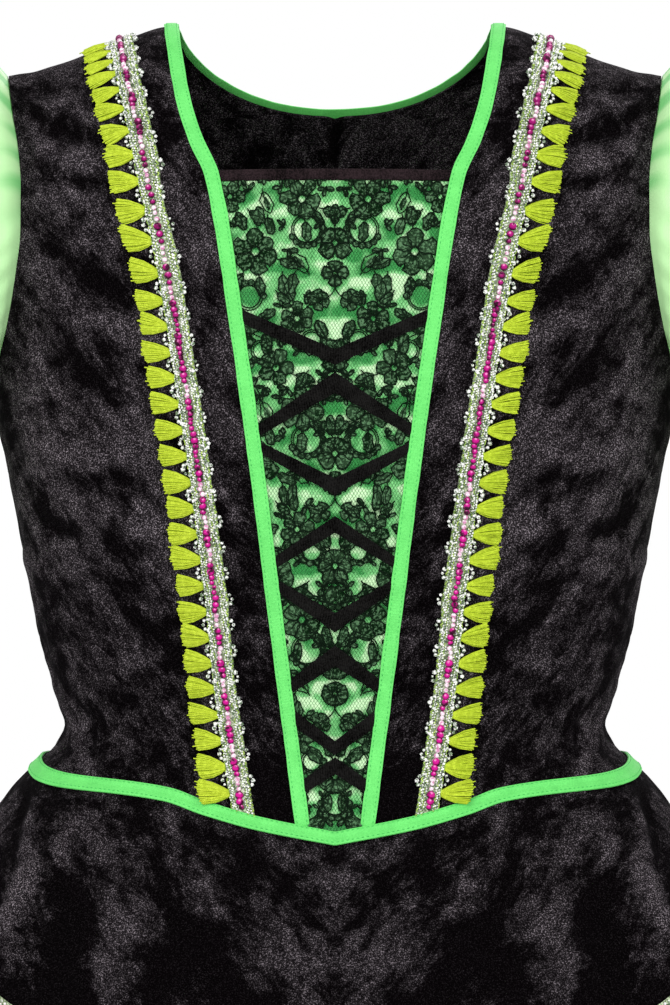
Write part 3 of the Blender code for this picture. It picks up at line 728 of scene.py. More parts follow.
@dataclass(frozen=True)
class SatinFinish(Finish):
    """Light green satin with a fine weave, and painted light and shade: a painted sheen that drifts slowly,
    painted shade in troughs and a painted highlight on ridges.
    """

    # The paler colour is a painted highlight and shade is the painted shade; drift weighs a painted sheen
    # that changes slowly at random, and folds the painted light and shade of the folds.
    glow: Colour = (0.66, 1.0, 0.5)
    shade_scale: float = 26.0
    drift: float = 0.55
    folds: float = 0.17

    def paint(self, on: Surface) -> dict[str, Socket | float]:
        """Adds the weave, and painted light and shade that go from painted shade to painted highlight.

        Args:
            on: The material's surface.

        Returns:
            What the shader's inputs take.
        """
        group = shader_group("Woven threads", {"Threads": 1500.0, "Drift scale": 60.0}, weave)
        woven = on.effect(group, {"Threads": 1600.0, "Drift scale": self.shade_scale})
        # A slowly drifting painted sheen, with the painted light and shade of the folds, picks between
        # painted shade, the satin's colour and the painted highlight.
        drift = on.times(on.math("SUBTRACT", woven["Drift"], 0.5), self.drift)
        tone = on.plus(drift, on.times(on.attribute("painted_light"), self.folds))
        deep = on.blend(on.remap(tone, -0.22, 0.0), self.shade, self.colour)
        pale = on.blend(on.remap(tone, 0.0, 0.22), deep, self.glow)
        return {"Base Color": pale, "Normal": self.bumped(on, woven["Height"])}


@dataclass(frozen=True)
class TapeFinish(Finish):
    """A close weave on tape and ribbon, with ribs across the strip."""

    ribs: float = 900.0
    rib_tone: float = 0.0

    def paint(self, on: Surface) -> dict[str, Socket | float]:
        """Adds ribs across the strip, and slow changes of shade.

        Args:
            on: The material's surface.

        Returns:
            What the shader's inputs take.
        """
        along = on.split(on.attribute("cloth", "Vector"))["X"]
        rib = on.math("SINE", on.times(along, 2 * math.pi * self.ribs))
        speckle = on.noise(on.place, 1500.0, 2.0)
        drift = on.remap(on.noise(on.place, 120.0), 0.3, 0.7, (0, 0.5))
        tone = on.plus(drift, on.remap(speckle, 0.4, 0.6, (0, 0.5)))
        tone = on.plus(tone, on.times(rib, self.rib_tone))
        return {
            "Base Color": on.blend(tone, self.shade, self.colour),
            "Normal": self.bumped(on, on.plus(rib, speckle)),
        }


@dataclass(frozen=True)
class ThreadFinish(Finish):
    """Fine threads that each differ a little in shade."""

    speckle: float = 700.0
    patches: float = 250.0

    def paint(self, on: Surface) -> dict[str, Socket | float]:
        """Adds shades that change from thread to thread, and in soft patches.

        Args:
            on: The material's surface.

        Returns:
            What the shader's inputs take.
        """
        fine = on.remap(on.noise(on.place, self.speckle, 2.0), 0.46, 0.62, (0.0, 0.8))
        broad = on.remap(on.noise(on.place, self.patches, 1.0), 0.35, 0.65, (0.0, 0.2))
        return {"Base Color": on.blend(on.plus(fine, broad), self.shade, self.colour)}


@dataclass(frozen=True)
class BeadFinish(Finish):
    """Beads whose tone and polish change from bead to bead, with a painted glint on each crown and painted
    shade away from it.
    """

    coat: float = 1.0
    coat_roughness: float = 0.08
    speckle: float = 420.0
    shaded: tuple[float, float] = (0.4, 0.56)
    bright: float = 1.0
    # brighter_low paints beads darker towards the top, as painted shade; crown darkens each bead away from
    # its crown, as painted shade; glint is the colour of the painted highlight on the crown.
    brighter_low: float = 0.0
    crown: tuple[float, float] = (-3.0, -2.0)
    glint: Colour = (1.0, 1.0, 1.0)

    def paint(self, on: Surface) -> dict[str, Socket | float]:
        """Adds a tone for each few beads, a painted glint on each bead's crown, painted shade on its sides
        and towards the top, and a clear coat.

        Args:
            on: The material's surface.

        Returns:
            What the shader's inputs take.
        """
        tone = on.remap(on.noise(on.place, self.speckle, 1.0), *self.shaded)
        # Painted shade: beads are painted darker towards the top and lighter towards the bottom.
        low = on.times(on.split(on.place)["Z"], -self.brighter_low)
        tone = on.times(tone, on.plus(low, self.bright))
        # Each bead's height along its crown gives painted shade on its sides and a painted glint on its
        # crown.
        painted_light = on.attribute("painted_light")
        tone = on.times(tone, on.remap(painted_light, *self.crown))
        shine = on.times(on.remap(painted_light, 0.84, 1.0), on.remap(tone, 0.1, 0.5))
        body = on.blend(tone, self.shade, self.colour)
        colour = on.blend(shine, body, self.glint)
        return {"Base Color": colour, "Coat Weight": self.coat, "Coat Roughness": self.coat_roughness}


@dataclass(frozen=True)
class NetFinish(Finish):
    """A fine net, with clear holes between its threads."""

    pitch: float = 0.00135
    cover: float = 0.42

    def paint(self, on: Surface) -> dict[str, Socket | float]:
        """Adds two slanted sets of threads, and holes where neither runs.

        Args:
            on: The material's surface.

        Returns:
            What the shader's inputs take.
        """
        parts = on.split(on.place)
        wobble = on.times(on.noise(on.place, 300.0, 1.0), self.pitch * 0.7)
        lines = []
        for lean in (0.62, -0.62):
            slant = on.plus(on.times(parts["Z"], lean), parts["X"])
            angle = on.times(on.plus(slant, wobble), math.pi / self.pitch)
            lines.append(on.math("ABSOLUTE", on.math("SINE", angle)))
        return {"Alpha": on.remap(on.math("MINIMUM", *lines), 0.36, 0.12, (0.0, self.cover))}


VELVET = VelvetFinish(
    "Black crushed velvet", "velvet", (0.0007, 0.0003, 0.0005),
    roughness=0.75, specular=0.005, sheen=0.008, sheen_tint=(0.75, 0.68, 0.8), bump=0.5, bump_depth=0.0005,
)
# Satin: the darker colour is painted shade and the paler one a painted highlight, with the satin's own colour
# between.
SATIN = SatinFinish(
    "Green satin", "satin", (0.52, 0.88, 0.42), shade=(0.2, 0.62, 0.2), glow=(0.74, 1.0, 0.63),
    roughness=0.4, specular=0.3, bump=0.12, drift=0.2, folds=0.2,
)
INSERT_SATIN = SatinFinish(
    "Green satin under lace", "satin", (0.2, 0.62, 0.21), shade=(0.03, 0.27, 0.055), glow=(0.68, 1.0, 0.58),
    roughness=0.45, specular=0.25, bump=0.12, shade_scale=110.0, drift=0.95, folds=0.24,
)
BIAS = TapeFinish(
    "Neon green bias tape", "bias", (0.165, 0.77, 0.17), shade=(0.115, 0.62, 0.125),
    roughness=0.6, specular=0.25, bump=0.15,
)
BIAS_STITCH = ThreadFinish("Neon green sewing thread", "bias", (0.07, 0.62, 0.12), shade=(0.03, 0.4, 0.07))
RIBBON = TapeFinish(
    "Black ribbed ribbon", "ribbon", (0.0125, 0.012, 0.0115), shade=(0.0008, 0.0006, 0.0006),
    roughness=0.8, specular=0.02, bump=0.6, ribs=850.0, rib_tone=0.15,
)
BINDING = TapeFinish(
    "Black woven binding", "ribbon", (0.032, 0.02, 0.023), shade=(0.002, 0.0015, 0.0015),
    roughness=0.8, specular=0.03, bump=0.6,
)
NET = NetFinish("Black net", "lace", (0.01, 0.1, 0.02), roughness=0.8, specular=0.1)
PETAL = ThreadFinish(
    "Black lace cloth", "lace", (0.095, 0.2, 0.098), shade=(0.002, 0.012, 0.003),
    roughness=0.85, specular=0.03, speckle=900.0, patches=90.0,
)
CORD = ThreadFinish(
    "Black lace cord", "lace", (0.005, 0.016, 0.006), roughness=0.8, specular=0.1, shade=(0.001, 0.007, 0.002)
)
# White painted glints on the silver beads' crowns, which are turned at random.
SILVER = BeadFinish(
    "Silver beads", "braid", (0.97, 0.97, 0.94), shade=(0.1, 0.17, 0.08),
    roughness=0.2, metallic=0.15, speckle=900.0,
)
SILVER_THREAD = ThreadFinish(
    "Silver thread", "braid", (0.6, 0.7, 0.46), shade=(0.08, 0.12, 0.05),
    roughness=0.4, metallic=0.2, speckle=1000.0,
)
LIME_EDGE = ThreadFinish("Lime thread", "braid", (0.62, 0.84, 0.14), shade=(0.24, 0.42, 0.06))
# Magenta beads: a pink painted glint on each crown, painted shade on their sides, and painted shade over the
# upper beads.
MAGENTA = BeadFinish(
    "Magenta beads", "braid", (0.62, 0.004, 0.27), shade=(0.035, 0.0002, 0.015), glint=(1.0, 0.35, 0.68),
    roughness=0.3, specular=0.1, coat=0.12, shaded=(0.3, 0.55), bright=0.4, brighter_low=2.8,
    crown=(-0.2, 0.8),
)
# White painted glints on the pale pink beads' crowns.
PALE_PINK = BeadFinish(
    "Pale pink beads", "braid", (0.95, 0.78, 0.88), roughness=0.2, shade=(0.62, 0.22, 0.42), speckle=700.0
)
TASSEL = ThreadFinish(
    "Lime tassel threads", "threads", (0.62, 0.77, 0.055), shade=(0.47, 0.6, 0.03),
    roughness=0.7, specular=0.15,
)


def dress(piece: Piece, nodes: Sequence[str]) -> Piece:
    """Puts a finished piece on the body, in the place of the nodes that it stands for.

    Args:
        piece: The piece, with its place in its mesh.
        nodes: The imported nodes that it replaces.

    Returns:
        The piece.
    """
    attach(piece, "root")
    if nodes:
        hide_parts(*nodes)
    piece.data.calc_loop_triangles()
    LOG.info("%s: %d triangles", piece.name, len(piece.data.loop_triangles))
    return piece


def link(name: str, data: bpy.types.ID) -> Piece:
    """Puts a mesh, a camera or a light in the scene.

    Args:
        name: The object's name.
        data: What it shows.

    Returns:
        The new object.
    """
    piece = bpy.data.objects.new(name, data)
    bpy.context.scene.collection.objects.link(piece)
    return piece


def mesh_object(name: str, points: Array, faces: Sequence[Array], finish: Finish) -> Piece:
    """Makes a smooth mesh from points in millimetres, with its faces pointing outwards.

    Args:
        name: The piece's name.
        points: The points.
        faces: The faces in one or more arrays, as rows of point numbers.
        finish: The finish of the whole mesh.

    Returns:
        The new object.
    """
    faces = np.concatenate(faces)
    a, b, c, d = (points[faces[:, i]] for i in (0, 1, 2, faces.shape[1] - 1))
    volume = np.sum(a * np.cross(b, c)) + (np.sum(a * np.cross(c, d)) if faces.shape[1] == 4 else 0)
    if volume < 0:
        faces = faces[:, ::-1]
    mesh = bpy.data.meshes.new(name)
    mesh.from_pydata((points * MM).tolist(), [], faces.tolist())
    mesh.shade_smooth()
    mesh.materials.append(finish.material())
    return link(name, mesh)


def write(mesh: bpy.types.Mesh, name: str, kind: str, values: Array) -> None:
    """Writes one attribute of a mesh's points.

    Args:
        mesh: The mesh.
        name: The attribute's name.
        kind: FLOAT or FLOAT_VECTOR.
        values: A value for each point.
    """
    layer = mesh.attributes.new(name, kind, "POINT")
    values = np.ascontiguousarray(values, np.float32).ravel()
    layer.data.foreach_set("value" if kind == "FLOAT" else "vector", values)


def shell(
    name: str,
    outer: Array,
    inner: Array,
    finish: Finish,
    *nodes: str,
    around: bool = False,
    painted_light: Array | None = None,
) -> Piece:
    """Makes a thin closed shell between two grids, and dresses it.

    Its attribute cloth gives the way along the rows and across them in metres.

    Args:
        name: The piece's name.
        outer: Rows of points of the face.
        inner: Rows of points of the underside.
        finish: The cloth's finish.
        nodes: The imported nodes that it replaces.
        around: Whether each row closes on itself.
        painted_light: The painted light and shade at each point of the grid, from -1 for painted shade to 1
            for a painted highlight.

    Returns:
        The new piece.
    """
    rows, columns = outer.shape[:2]
    count = rows * columns
    index = np.arange(count).reshape(rows, columns)
    if around:
        index = np.concatenate((index, index[:, :1]), axis=1)
    face = np.stack((index[:-1, :-1], index[:-1, 1:], index[1:, 1:], index[1:, :-1]), -1).reshape(-1, 4)
    faces = [face, face[:, ::-1] + count]
    rims = [index[0], index[-1][::-1]] + ([] if around else [index[::-1, 0], index[:, -1]])
    for rim in rims:
        p, q = rim[:-1], rim[1:]
        faces.append(np.stack((q, p, p + count, q + count), -1))
    piece = mesh_object(name, np.concatenate((outer.reshape(-1, 3), inner.reshape(-1, 3))), faces, finish)
    piece.data.set_sharp_from_angle(angle=math.radians(50))
    along = np.cumsum(np.linalg.norm(np.diff(outer, axis=1, prepend=outer[:, :1]), axis=-1), axis=1)
    across = np.cumsum(np.linalg.norm(np.diff(outer, axis=0, prepend=outer[:1]), axis=-1), axis=0)
    cloth = np.stack((along, across, np.zeros_like(along)), -1).reshape(-1, 3) * MM
    write(piece.data, "cloth", "FLOAT_VECTOR", np.concatenate((cloth, cloth)))
    painted_light = np.zeros(count) if painted_light is None else painted_light.ravel()
    write(piece.data, "painted_light", "FLOAT", np.concatenate((painted_light, painted_light)))
    return dress(piece, nodes)


class Growth(Enum):
    """What a geometry tree grows on the lines or points that it is given."""

    THREADS = "Threads"
    BEADS = "Beads"
    STITCHES = "Stitches"


def threads(graph: Graph, given: Sockets) -> Socket:
    """Turns lines into round threads.

    Args:
        graph: The tree's graph.
        given: Its inputs.

    Returns:
        The geometry.
    """
    curve = graph.get("GeometryNodeMeshToCurve", {"Mesh": given["Geometry"]})
    section = {"Resolution": given["Sides"], "Radius": given["Radius"]}
    profile = graph.get("GeometryNodeCurvePrimitiveCircle", section)
    return graph.get("GeometryNodeCurveToMesh", {"Curve": curve, "Profile Curve": profile, "Fill Caps": True})


def beads(graph: Graph, given: Sockets) -> Socket:
    """Sets an uneven bead, turned at random, on each point.

    Args:
        graph: The tree's graph.
        given: Its inputs.

    Returns:
        The geometry.
    """
    bead = graph.get("GeometryNodeMeshIcoSphere", {"Radius": 0.5, "Subdivisions": given["Rounds"]})
    # Each bead stores its height along its crown for painted light: its finish paints a glint on the crown
    # and shade on the sides, and Tilt turns the crowns to the front and up.
    up = graph.times(graph.split(graph.get("GeometryNodeInputPosition"))["Z"], 2.0)
    bead = graph.get("GeometryNodeStoreNamedAttribute", {"Geometry": bead, "Name": "painted_light", "Value": up})
    size = graph.get("GeometryNodeInputNamedAttribute", {"Name": "size"}, data_type="FLOAT")
    ends = {2: graph.math("SUBTRACT", 1.0, given["Unevenness"]), 3: graph.plus(1.0, given["Unevenness"])}
    vary = graph.get("FunctionNodeRandomValue", {**ends, "Seed": given["Seed"]}, 1, data_type="FLOAT")
    ends = {}
    for i, way in enumerate((graph.times(given["Tumble"], -1.0), given["Tumble"])):
        parts = {"X": graph.plus(given["Tilt"], way), "Y": way, "Z": way}
        ends[i] = graph.get("ShaderNodeCombineXYZ", parts)
    turn = graph.get("FunctionNodeRandomValue", {**ends, "Seed": given["Seed"]}, data_type="FLOAT_VECTOR")
    placed = {"Points": given["Geometry"], "Instance": bead, "Rotation": turn}
    placed["Scale"] = graph.times(size, vary)
    return graph.get("GeometryNodeInstanceOnPoints", placed)


def stitches(graph: Graph, given: Sockets) -> Socket:
    """Sews stitches of an even length along lines.

    Args:
        graph: The tree's graph.
        given: Its inputs.

    Returns:
        The geometry.
    """
    curve = graph.get("GeometryNodeMeshToCurve", {"Mesh": given["Geometry"]})
    along = {"Curve": curve, "Length": given["Pitch"]}
    spots = graph.add("GeometryNodeCurveToPoints", along, mode="LENGTH").outputs
    stitch = graph.get("GeometryNodeMeshIcoSphere", {"Radius": 1.0, "Subdivisions": 1})
    size = {"X": given["Radius"], "Y": given["Radius"], "Z": graph.times(given["Length"], 0.5)}
    placed = {"Points": spots["Points"], "Instance": stitch, "Rotation": spots["Rotation"]}
    placed["Scale"] = graph.get("ShaderNodeCombineXYZ", size)
    return graph.get("GeometryNodeInstanceOnPoints", placed)


TREES = {
    Growth.THREADS: (threads, {"Radius": 0.0003, "Sides": 4}),
    Growth.BEADS: (beads, {"Unevenness": 0.12, "Rounds": 1, "Tilt": 0.0, "Tumble": 3.2, "Seed": 3}),
    Growth.STITCHES: (stitches, {"Pitch": 0.002, "Length": 0.0013, "Radius": 0.0002}),
}


def growth_tree(growth: Growth) -> Tree:
    """Finds or makes a geometry tree, which ends in Realize Instances and Set Material.

    Args:
        growth: What it grows.

    Returns:
        The tree.
    """
    tree = bpy.data.node_groups.get(growth.value)
    if tree is not None:
        return tree
    tree = bpy.data.node_groups.new(growth.value, "GeometryNodeTree")
    build, values = TREES[growth]
    tree.interface.new_socket("Geometry", in_out="INPUT", socket_type="NodeSocketGeometry")
    for label, value in values.items():
        kind = "NodeSocketInt" if isinstance(value, int) else "NodeSocketFloat"
        tree.interface.new_socket(label, in_out="INPUT", socket_type=kind).default_value = value
    tree.interface.new_socket("Material", in_out="INPUT", socket_type="NodeSocketMaterial")
    tree.interface.new_socket("Geometry", in_out="OUTPUT", socket_type="NodeSocketGeometry")
    graph = Graph(tree)
    given = graph.add("NodeGroupInput").outputs
    real = graph.get("GeometryNodeRealizeInstances", {"Geometry": build(graph, given)})
    even = growth is not Growth.BEADS
    shaded = graph.get("GeometryNodeSetShadeSmooth", {"Geometry": real, "Shade Smooth": even})
    painted = graph.get("GeometryNodeSetMaterial", {"Geometry": shaded, "Material": given["Material"]})
    graph.add("NodeGroupOutput", {"Geometry": painted})
    return tree


def grow(
    name: str,
    growth: Growth,
    lines: Sequence[Array],
    finish: Finish,
    values: Mapping[str, object],
    *nodes: str,
    sizes: Array | None = None,
    closed: bool = False,
) -> Piece:
    """Grows threads, beads or stitches, makes them a plain mesh, and dresses it.

    Args:
        name: The piece's name.
        growth: What is grown.
        lines: Lines of points, in millimetres; each point of a bead string is a bead.
        finish: The finish of what is grown.
        values: The tree's own inputs, by name.
        nodes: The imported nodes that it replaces.
        sizes: The beads' sizes in millimetres, one for each point.
        closed: Whether each line closes on itself.

    Returns:
        The new piece.
    """
    edges, start = [], 0
    for line in lines:
        numbers = np.arange(start, start + len(line))
        start += len(line)
        if growth is not Growth.BEADS:
            edges += np.stack((numbers[:-1], numbers[1:]), -1).tolist()
            if closed:
                edges.append([int(numbers[-1]), int(numbers[0])])
    mesh = bpy.data.meshes.new(name)
    mesh.from_pydata((np.concatenate(lines) * MM).tolist(), edges, [])
    if sizes is not None:
        write(mesh, "size", "FLOAT", sizes * MM)
    piece = link(name, mesh)
    modifier = piece.modifiers.new(growth.value, "NODES")
    modifier.node_group = growth_tree(growth)
    values = {**values, "Material": finish.material()}
    for socket in modifier.node_group.interface.items_tree:
        if socket.name in values:
            modifier[socket.identifier] = values[socket.name]
    depsgraph = bpy.context.evaluated_depsgraph_get()
    piece.data = bpy.data.meshes.new_from_object(piece.evaluated_get(depsgraph), depsgraph=depsgraph)
    piece.modifiers.clear()
    bpy.data.meshes.remove(mesh)
    piece.data.name = name
    return dress(piece, nodes)


@dataclass(frozen=True)
class Bodice:
    """The four velvet panels of the bodice."""

    cut: Cut
    thickness: float = 1.4
    rows_below: int = 72
    rows_above: int = 58
    columns: int = 62
    neck_rows: int = 16
    seam_depth: float = 0.9
    seam_reach: float = 1.7
    closure_depth: float = 1.6
    closure_reach: float = 2.2
    # Painted light and shade on the velvet: painted shade in the seams' dips, a painted highlight on upward
    # slopes of the creases and painted shade on downward ones, and painted shade over the lower bodice,
    # darker between the braids in front.
    dip_dark: float = 0.5
    lean: float = 2.2
    dark_low: float = 0.08
    dark_inside: float = 0.6

    def rows(self, half: Half) -> Array:
        """Lists a panel's rows from the waist seam to the shoulder seam.

        Args:
            half: Whether it is a front or a back.

        Returns:
            The rows; a back's last ones meet its neckline.
        """
        armpit = self.cut.armpit_row()
        above = np.linspace(armpit, 2, self.rows_above)[1:]
        rows = np.concatenate((np.linspace(0, armpit, self.rows_below), above))
        if half is Half.FRONT:
            return rows
        figure = self.cut.figure
        across = np.linspace(0, self.cut.back_neck_reach, self.neck_rows)
        neck = 1 + figure.cap_level(across, self.cut.back_neck_height(across)) / figure.shoulder_arc
        return np.concatenate((rows[rows < neck[0] - 0.004], neck))

    def turns(self, rows: Array, half: Half) -> Array:
        """Finds the turns of a panel's grid.

        Args:
            rows: The panel's rows.
            half: Whether it is a front or a back.

        Returns:
            A row of turns for each row, from the inner edge to the side seam or armhole.
        """
        cut = self.cut
        back = half is Half.BACK
        inner = cut.turn_of_edge(cut.back_edge if back else cut.front_edge, rows, back)
        outer = np.where(rows <= cut.armpit_row(), QUARTER, cut.turn_of_edge(cut.armhole, rows, back))
        share = np.concatenate(((0, 0.005, 0.011), np.linspace(0.02, 0.98, self.columns), (0.989, 0.995, 1)))
        return inner[:, None] + (outer - inner)[:, None] * share

    def seam_dip(self, turns: Array, rows: Array, half: Half) -> Array:
        """Finds how far the cloth rolls into the seams beside it.

        Args:
            turns: The panel's turns.
            rows: The panel's rows, as a column.
            half: Whether it is a front or a back.

        Returns:
            A depth for each point.
        """
        figure = self.cut.figure
        side = np.where(rows <= self.cut.armpit_row(), np.abs(QUARTER - turns) * figure.girth, FAR)
        nearest = np.minimum(side, (2 - rows) * figure.shoulder_arc)
        closure = np.abs(math.pi - turns) * figure.back(figure.chest) if half is Half.BACK else FAR
        depth = self.seam_depth * np.exp(-((nearest / self.seam_reach) ** 2))
        return depth + self.closure_depth * np.exp(-((closure / self.closure_reach) ** 2))

    def make_panel(self, side: Side, half: Half) -> None:
        """Makes one panel.

        Args:
            side: The dress's own side.
            half: Whether it is a front or a back.
        """
        rows = self.rows(half)
        turns = self.turns(rows, half)
        level = self.cut.row_level(rows[:, None], turns)
        creases = self.cut.creased(turns, level)
        dip = self.seam_dip(turns, rows[:, None], half)
        slope = np.gradient(creases, axis=0) / np.gradient(level, axis=0)
        turns = turns * side.value
        outer = self.cut.figure.point(turns, level, creases - dip)
        inner = self.cut.figure.point(turns, level, creases - dip - self.thickness)
        # Painted light and shade: a painted highlight on ridges and upward slopes, painted shade in troughs,
        # on downward slopes, in seam dips, over the lower bodice and between the braids.
        low = smooth(outer[..., 2], self.cut.neckline - 90, self.cut.side_waist)
        inside = 1 - smooth(np.abs(outer[..., 0]) - self.cut.braid_line(outer[..., 2]), -8, 6)
        shadow = low * (self.dark_low + (self.dark_inside if half is Half.FRONT else 0) * inside)
        painted_light = np.clip(0.3 * creases - self.lean * slope - shadow - self.dip_dark * dip, -1, 1)
        place = f"{half.word}_{side.word}"
        panel = shell(f"velvet_{place}", outer, inner, VELVET, f"bodice_{place}", painted_light=painted_light)

    def make(self) -> None:
        """Makes the four panels."""
        for side in Side:
            for half in Half:
                self.make_panel(side, half)


@dataclass(frozen=True)
class Flare:
    """A flared and folded skirt layer below the waist."""

    cut: Cut
    name: str
    finish: Finish
    thickness: float
    hem: float
    rows: int
    columns: int
    folds: int
    roundness: float

    def surface(self, turn: Array, fall: Array) -> tuple[Array, Array]:
        """Finds points of the layer by turn and by share of the way from the waist seam to the hem.

        Their second value is the painted light and shade of each point, from -1 to 1: a painted highlight on
        ridges and painted shade in troughs.
        """
        raise NotImplementedError

    def fold(self, turn: Array) -> Array:
        """Finds an uneven wave round the layer, from -1 to 1, the same on both sides."""
        return 0.72 * np.cos(self.folds * turn) + 0.28 * np.cos(self.folds * turn / 2) * np.cos(3 * turn)

    def ring(self, turn: Array, half_width: Array, depth: Array, share: Array) -> tuple[Array, Array]:
        """Finds x and y on a section that takes the layer's own roundness by a share."""
        figure = self.cut.figure
        return ring(turn, half_width, depth, figure.roundness + (self.roundness - figure.roundness) * share)

    def make(self, rests_on: Sequence[str], with_pieces: Mapping[Half, list[Piece]]) -> None:
        """Makes the front and the back.

        Args:
            rests_on: The pieces that the layer lies on; not used.
            with_pieces: The pieces that are sewn on each half.
        """
        falls = np.linspace(0.003, 1.0, self.rows)[:, None]
        for half in Half:
            outer, painted_light = self.surface(*np.broadcast_arrays(half.turns(self.columns)[None, :], falls))
            inner = outer - facing_out(outer) * self.thickness
            node = f"{self.name}_{half.word}"
            piece = shell(f"{node}_cloth", outer, inner, self.finish, node, painted_light=painted_light)
            with_pieces.get(half, ())


PEPLUM_CREASES = tuple(Crease(*row) for row in (
    (69, -318, 60, -348, 1.7, 4, 1), (60, -348, 57, -382, 1.6, 4, 1), (73, -318, 64, -350, -1.8, 4, 1),
    (64, -350, 61, -386, -1.5, 4, 1), (54, -344, 48, -372, -2.2, 7, 1), (49, -368, 47, -398, -2.0, 6, 1),
    (38, -344, 30, -376, -2.4, 8, 2), (30, -370, 31, -402, -2.2, 8, 1), (49, -346, 38, -372, 1.5, 7, 2),
    (44, -380, 34, -396, 1.4, 8, 1), (23, -346, 18, -374, -1.7, 6, 1), (3, -343, 13, -354, -1.9, 2.6, -1),
    (11, -352, 15, -374, -1.7, 2.6, 1), (2, -350, 12, -364, 1.3, 3.5, 1), (28, -376, 17, -404, -1.8, 7, 1),
    (18, -362, 1, -396, 1.6, 10, 3), (58, -330, 55, -354, 1.2, 5, 1), (36, -327, 34, -336, -1.4, 4, 0),
    (84, -316, 92, -362, -1.8, 6, 2), (78, -320, 82, -366, 1.6, 6, 2), (100, -316, 104, -370, 1.5, 6, 2),
    (112, -318, 118, -380, -1.9, 7, 2), (128, -320, 134, -400, 1.6, 7, -2),
    (142, -320, 146, -404, -1.9, 7, 2), (156, -322, 160, -410, 1.5, 7, 2),
    (170, -322, 172, -420, -1.6, 6, 2),
))


@dataclass(frozen=True)
class Peplum(Flare):
    """The velvet peplum."""

    name: str = "peplum"
    finish: Finish = VELVET
    thickness: float = 1.4
    hem: float = -419.0
    rows: int = 46
    columns: int = 176
    folds: int = 12
    roundness: float = 2.15
    dip: float = 47.0
    swell: float = 9.0
    out_side: float = 49.0
    out_front: float = 66.0
    wave: float = 5.0
    # Painted shade over the whole peplum.
    dark: float = 0.26
    flare: Profile = Profile(((0, 0), (0.08, 0.12), (0.28, 0.33), (0.6, 0.66), (1, 1)))
    relief: Relief = Relief(PEPLUM_CREASES, per_degree=2.4, crush=0.25, crush_length=14.0, seed=9)

    def hem_height(self, turn: Array) -> Array:
        """Finds the height of the hem, lowest at the centres and full beside them."""
        return self.hem - self.dip * np.cos(2 * turn) - self.swell * np.sin(2 * turn) ** 2

    def surface(self, turn: Array, fall: Array) -> tuple[Array, Array]:
        """Finds points of the peplum.

        Args:
            turn: Turns from the centre front.
            fall: Shares of the way from the waist seam, at 0, to the hem, at 1.

        Returns:
            The points, and their painted light and shade: a painted highlight on ridges, painted shade in
            troughs, and painted shade over all.
        """
        figure = self.cut.figure
        top = self.cut.waist(turn)
        z = top + (self.hem_height(turn) - top) * fall
        ridge = self.fold(turn) * np.maximum(fall, 0) ** 1.3
        creased = self.relief(turn, z) * smooth(fall, 0.03, 0.14) * (1 - smooth(fall, 0.86, 0.97))
        out, wave = self.flare(fall), self.wave * ridge + creased
        half_width = figure.half_width(top) + self.out_side * out + wave
        x, y = self.ring(turn, half_width, figure.depth(turn, top) + self.out_front * out + wave, fall)
        return np.stack((x, y, z), -1), np.clip(creased / 2.2 + ridge * 0.6 - self.dark, -1, 1)


@dataclass(frozen=True)
class Skirt(Flare):
    """The satin skirt below the peplum."""

    name: str = "skirt"
    finish: Finish = SATIN
    thickness: float = 0.7
    hem: float = -700.0
    rows: int = 34
    columns: int = 150
    folds: int = 18
    roundness: float = 2.1
    inside: float = 2.3
    wave: float = 13.0
    side_spread: Profile = Profile(((0, 0), (30, 8), (60, 22), (110, 43), (200, 76), (392, 134)))
    front_spread: Profile = Profile(((0, 0), (30, 6), (60, 17), (110, 38), (200, 76), (392, 140)))

    def surface(self, turn: Array, fall: Array) -> tuple[Array, Array]:
        """Finds points of the skirt.

        Args:
            turn: Turns from the centre front.
            fall: Shares of the way from the waist seam, at 0, to the hem, at 1.

        Returns:
            The points, and their painted light and shade: a painted highlight on ridges and painted shade in
            troughs, also along the gathers.
        """
        figure = self.cut.figure
        top = self.cut.waist(turn)
        drop = (top - self.hem) * fall
        ridge = self.fold(turn) * np.maximum(fall, 0) ** 1.1
        gathers = 0.5 * np.cos(turn * 74 + 2 * np.sin(5 * turn))
        gathers = gathers * smooth(fall, 0.01, 0.06) * (1 - smooth(fall, 0.2, 0.6))
        wave = self.wave * ridge + gathers
        half_width = figure.half_width(top) - self.inside + self.side_spread(drop) + wave
        depth = figure.depth(turn, top) - self.inside + self.front_spread(drop) + wave
        x, y = self.ring(turn, half_width, depth, np.minimum(3 * fall, 1))
        return np.stack((x, y, top - drop), -1), np.clip(1.5 * ridge + 0.3 * gathers, -1, 1)


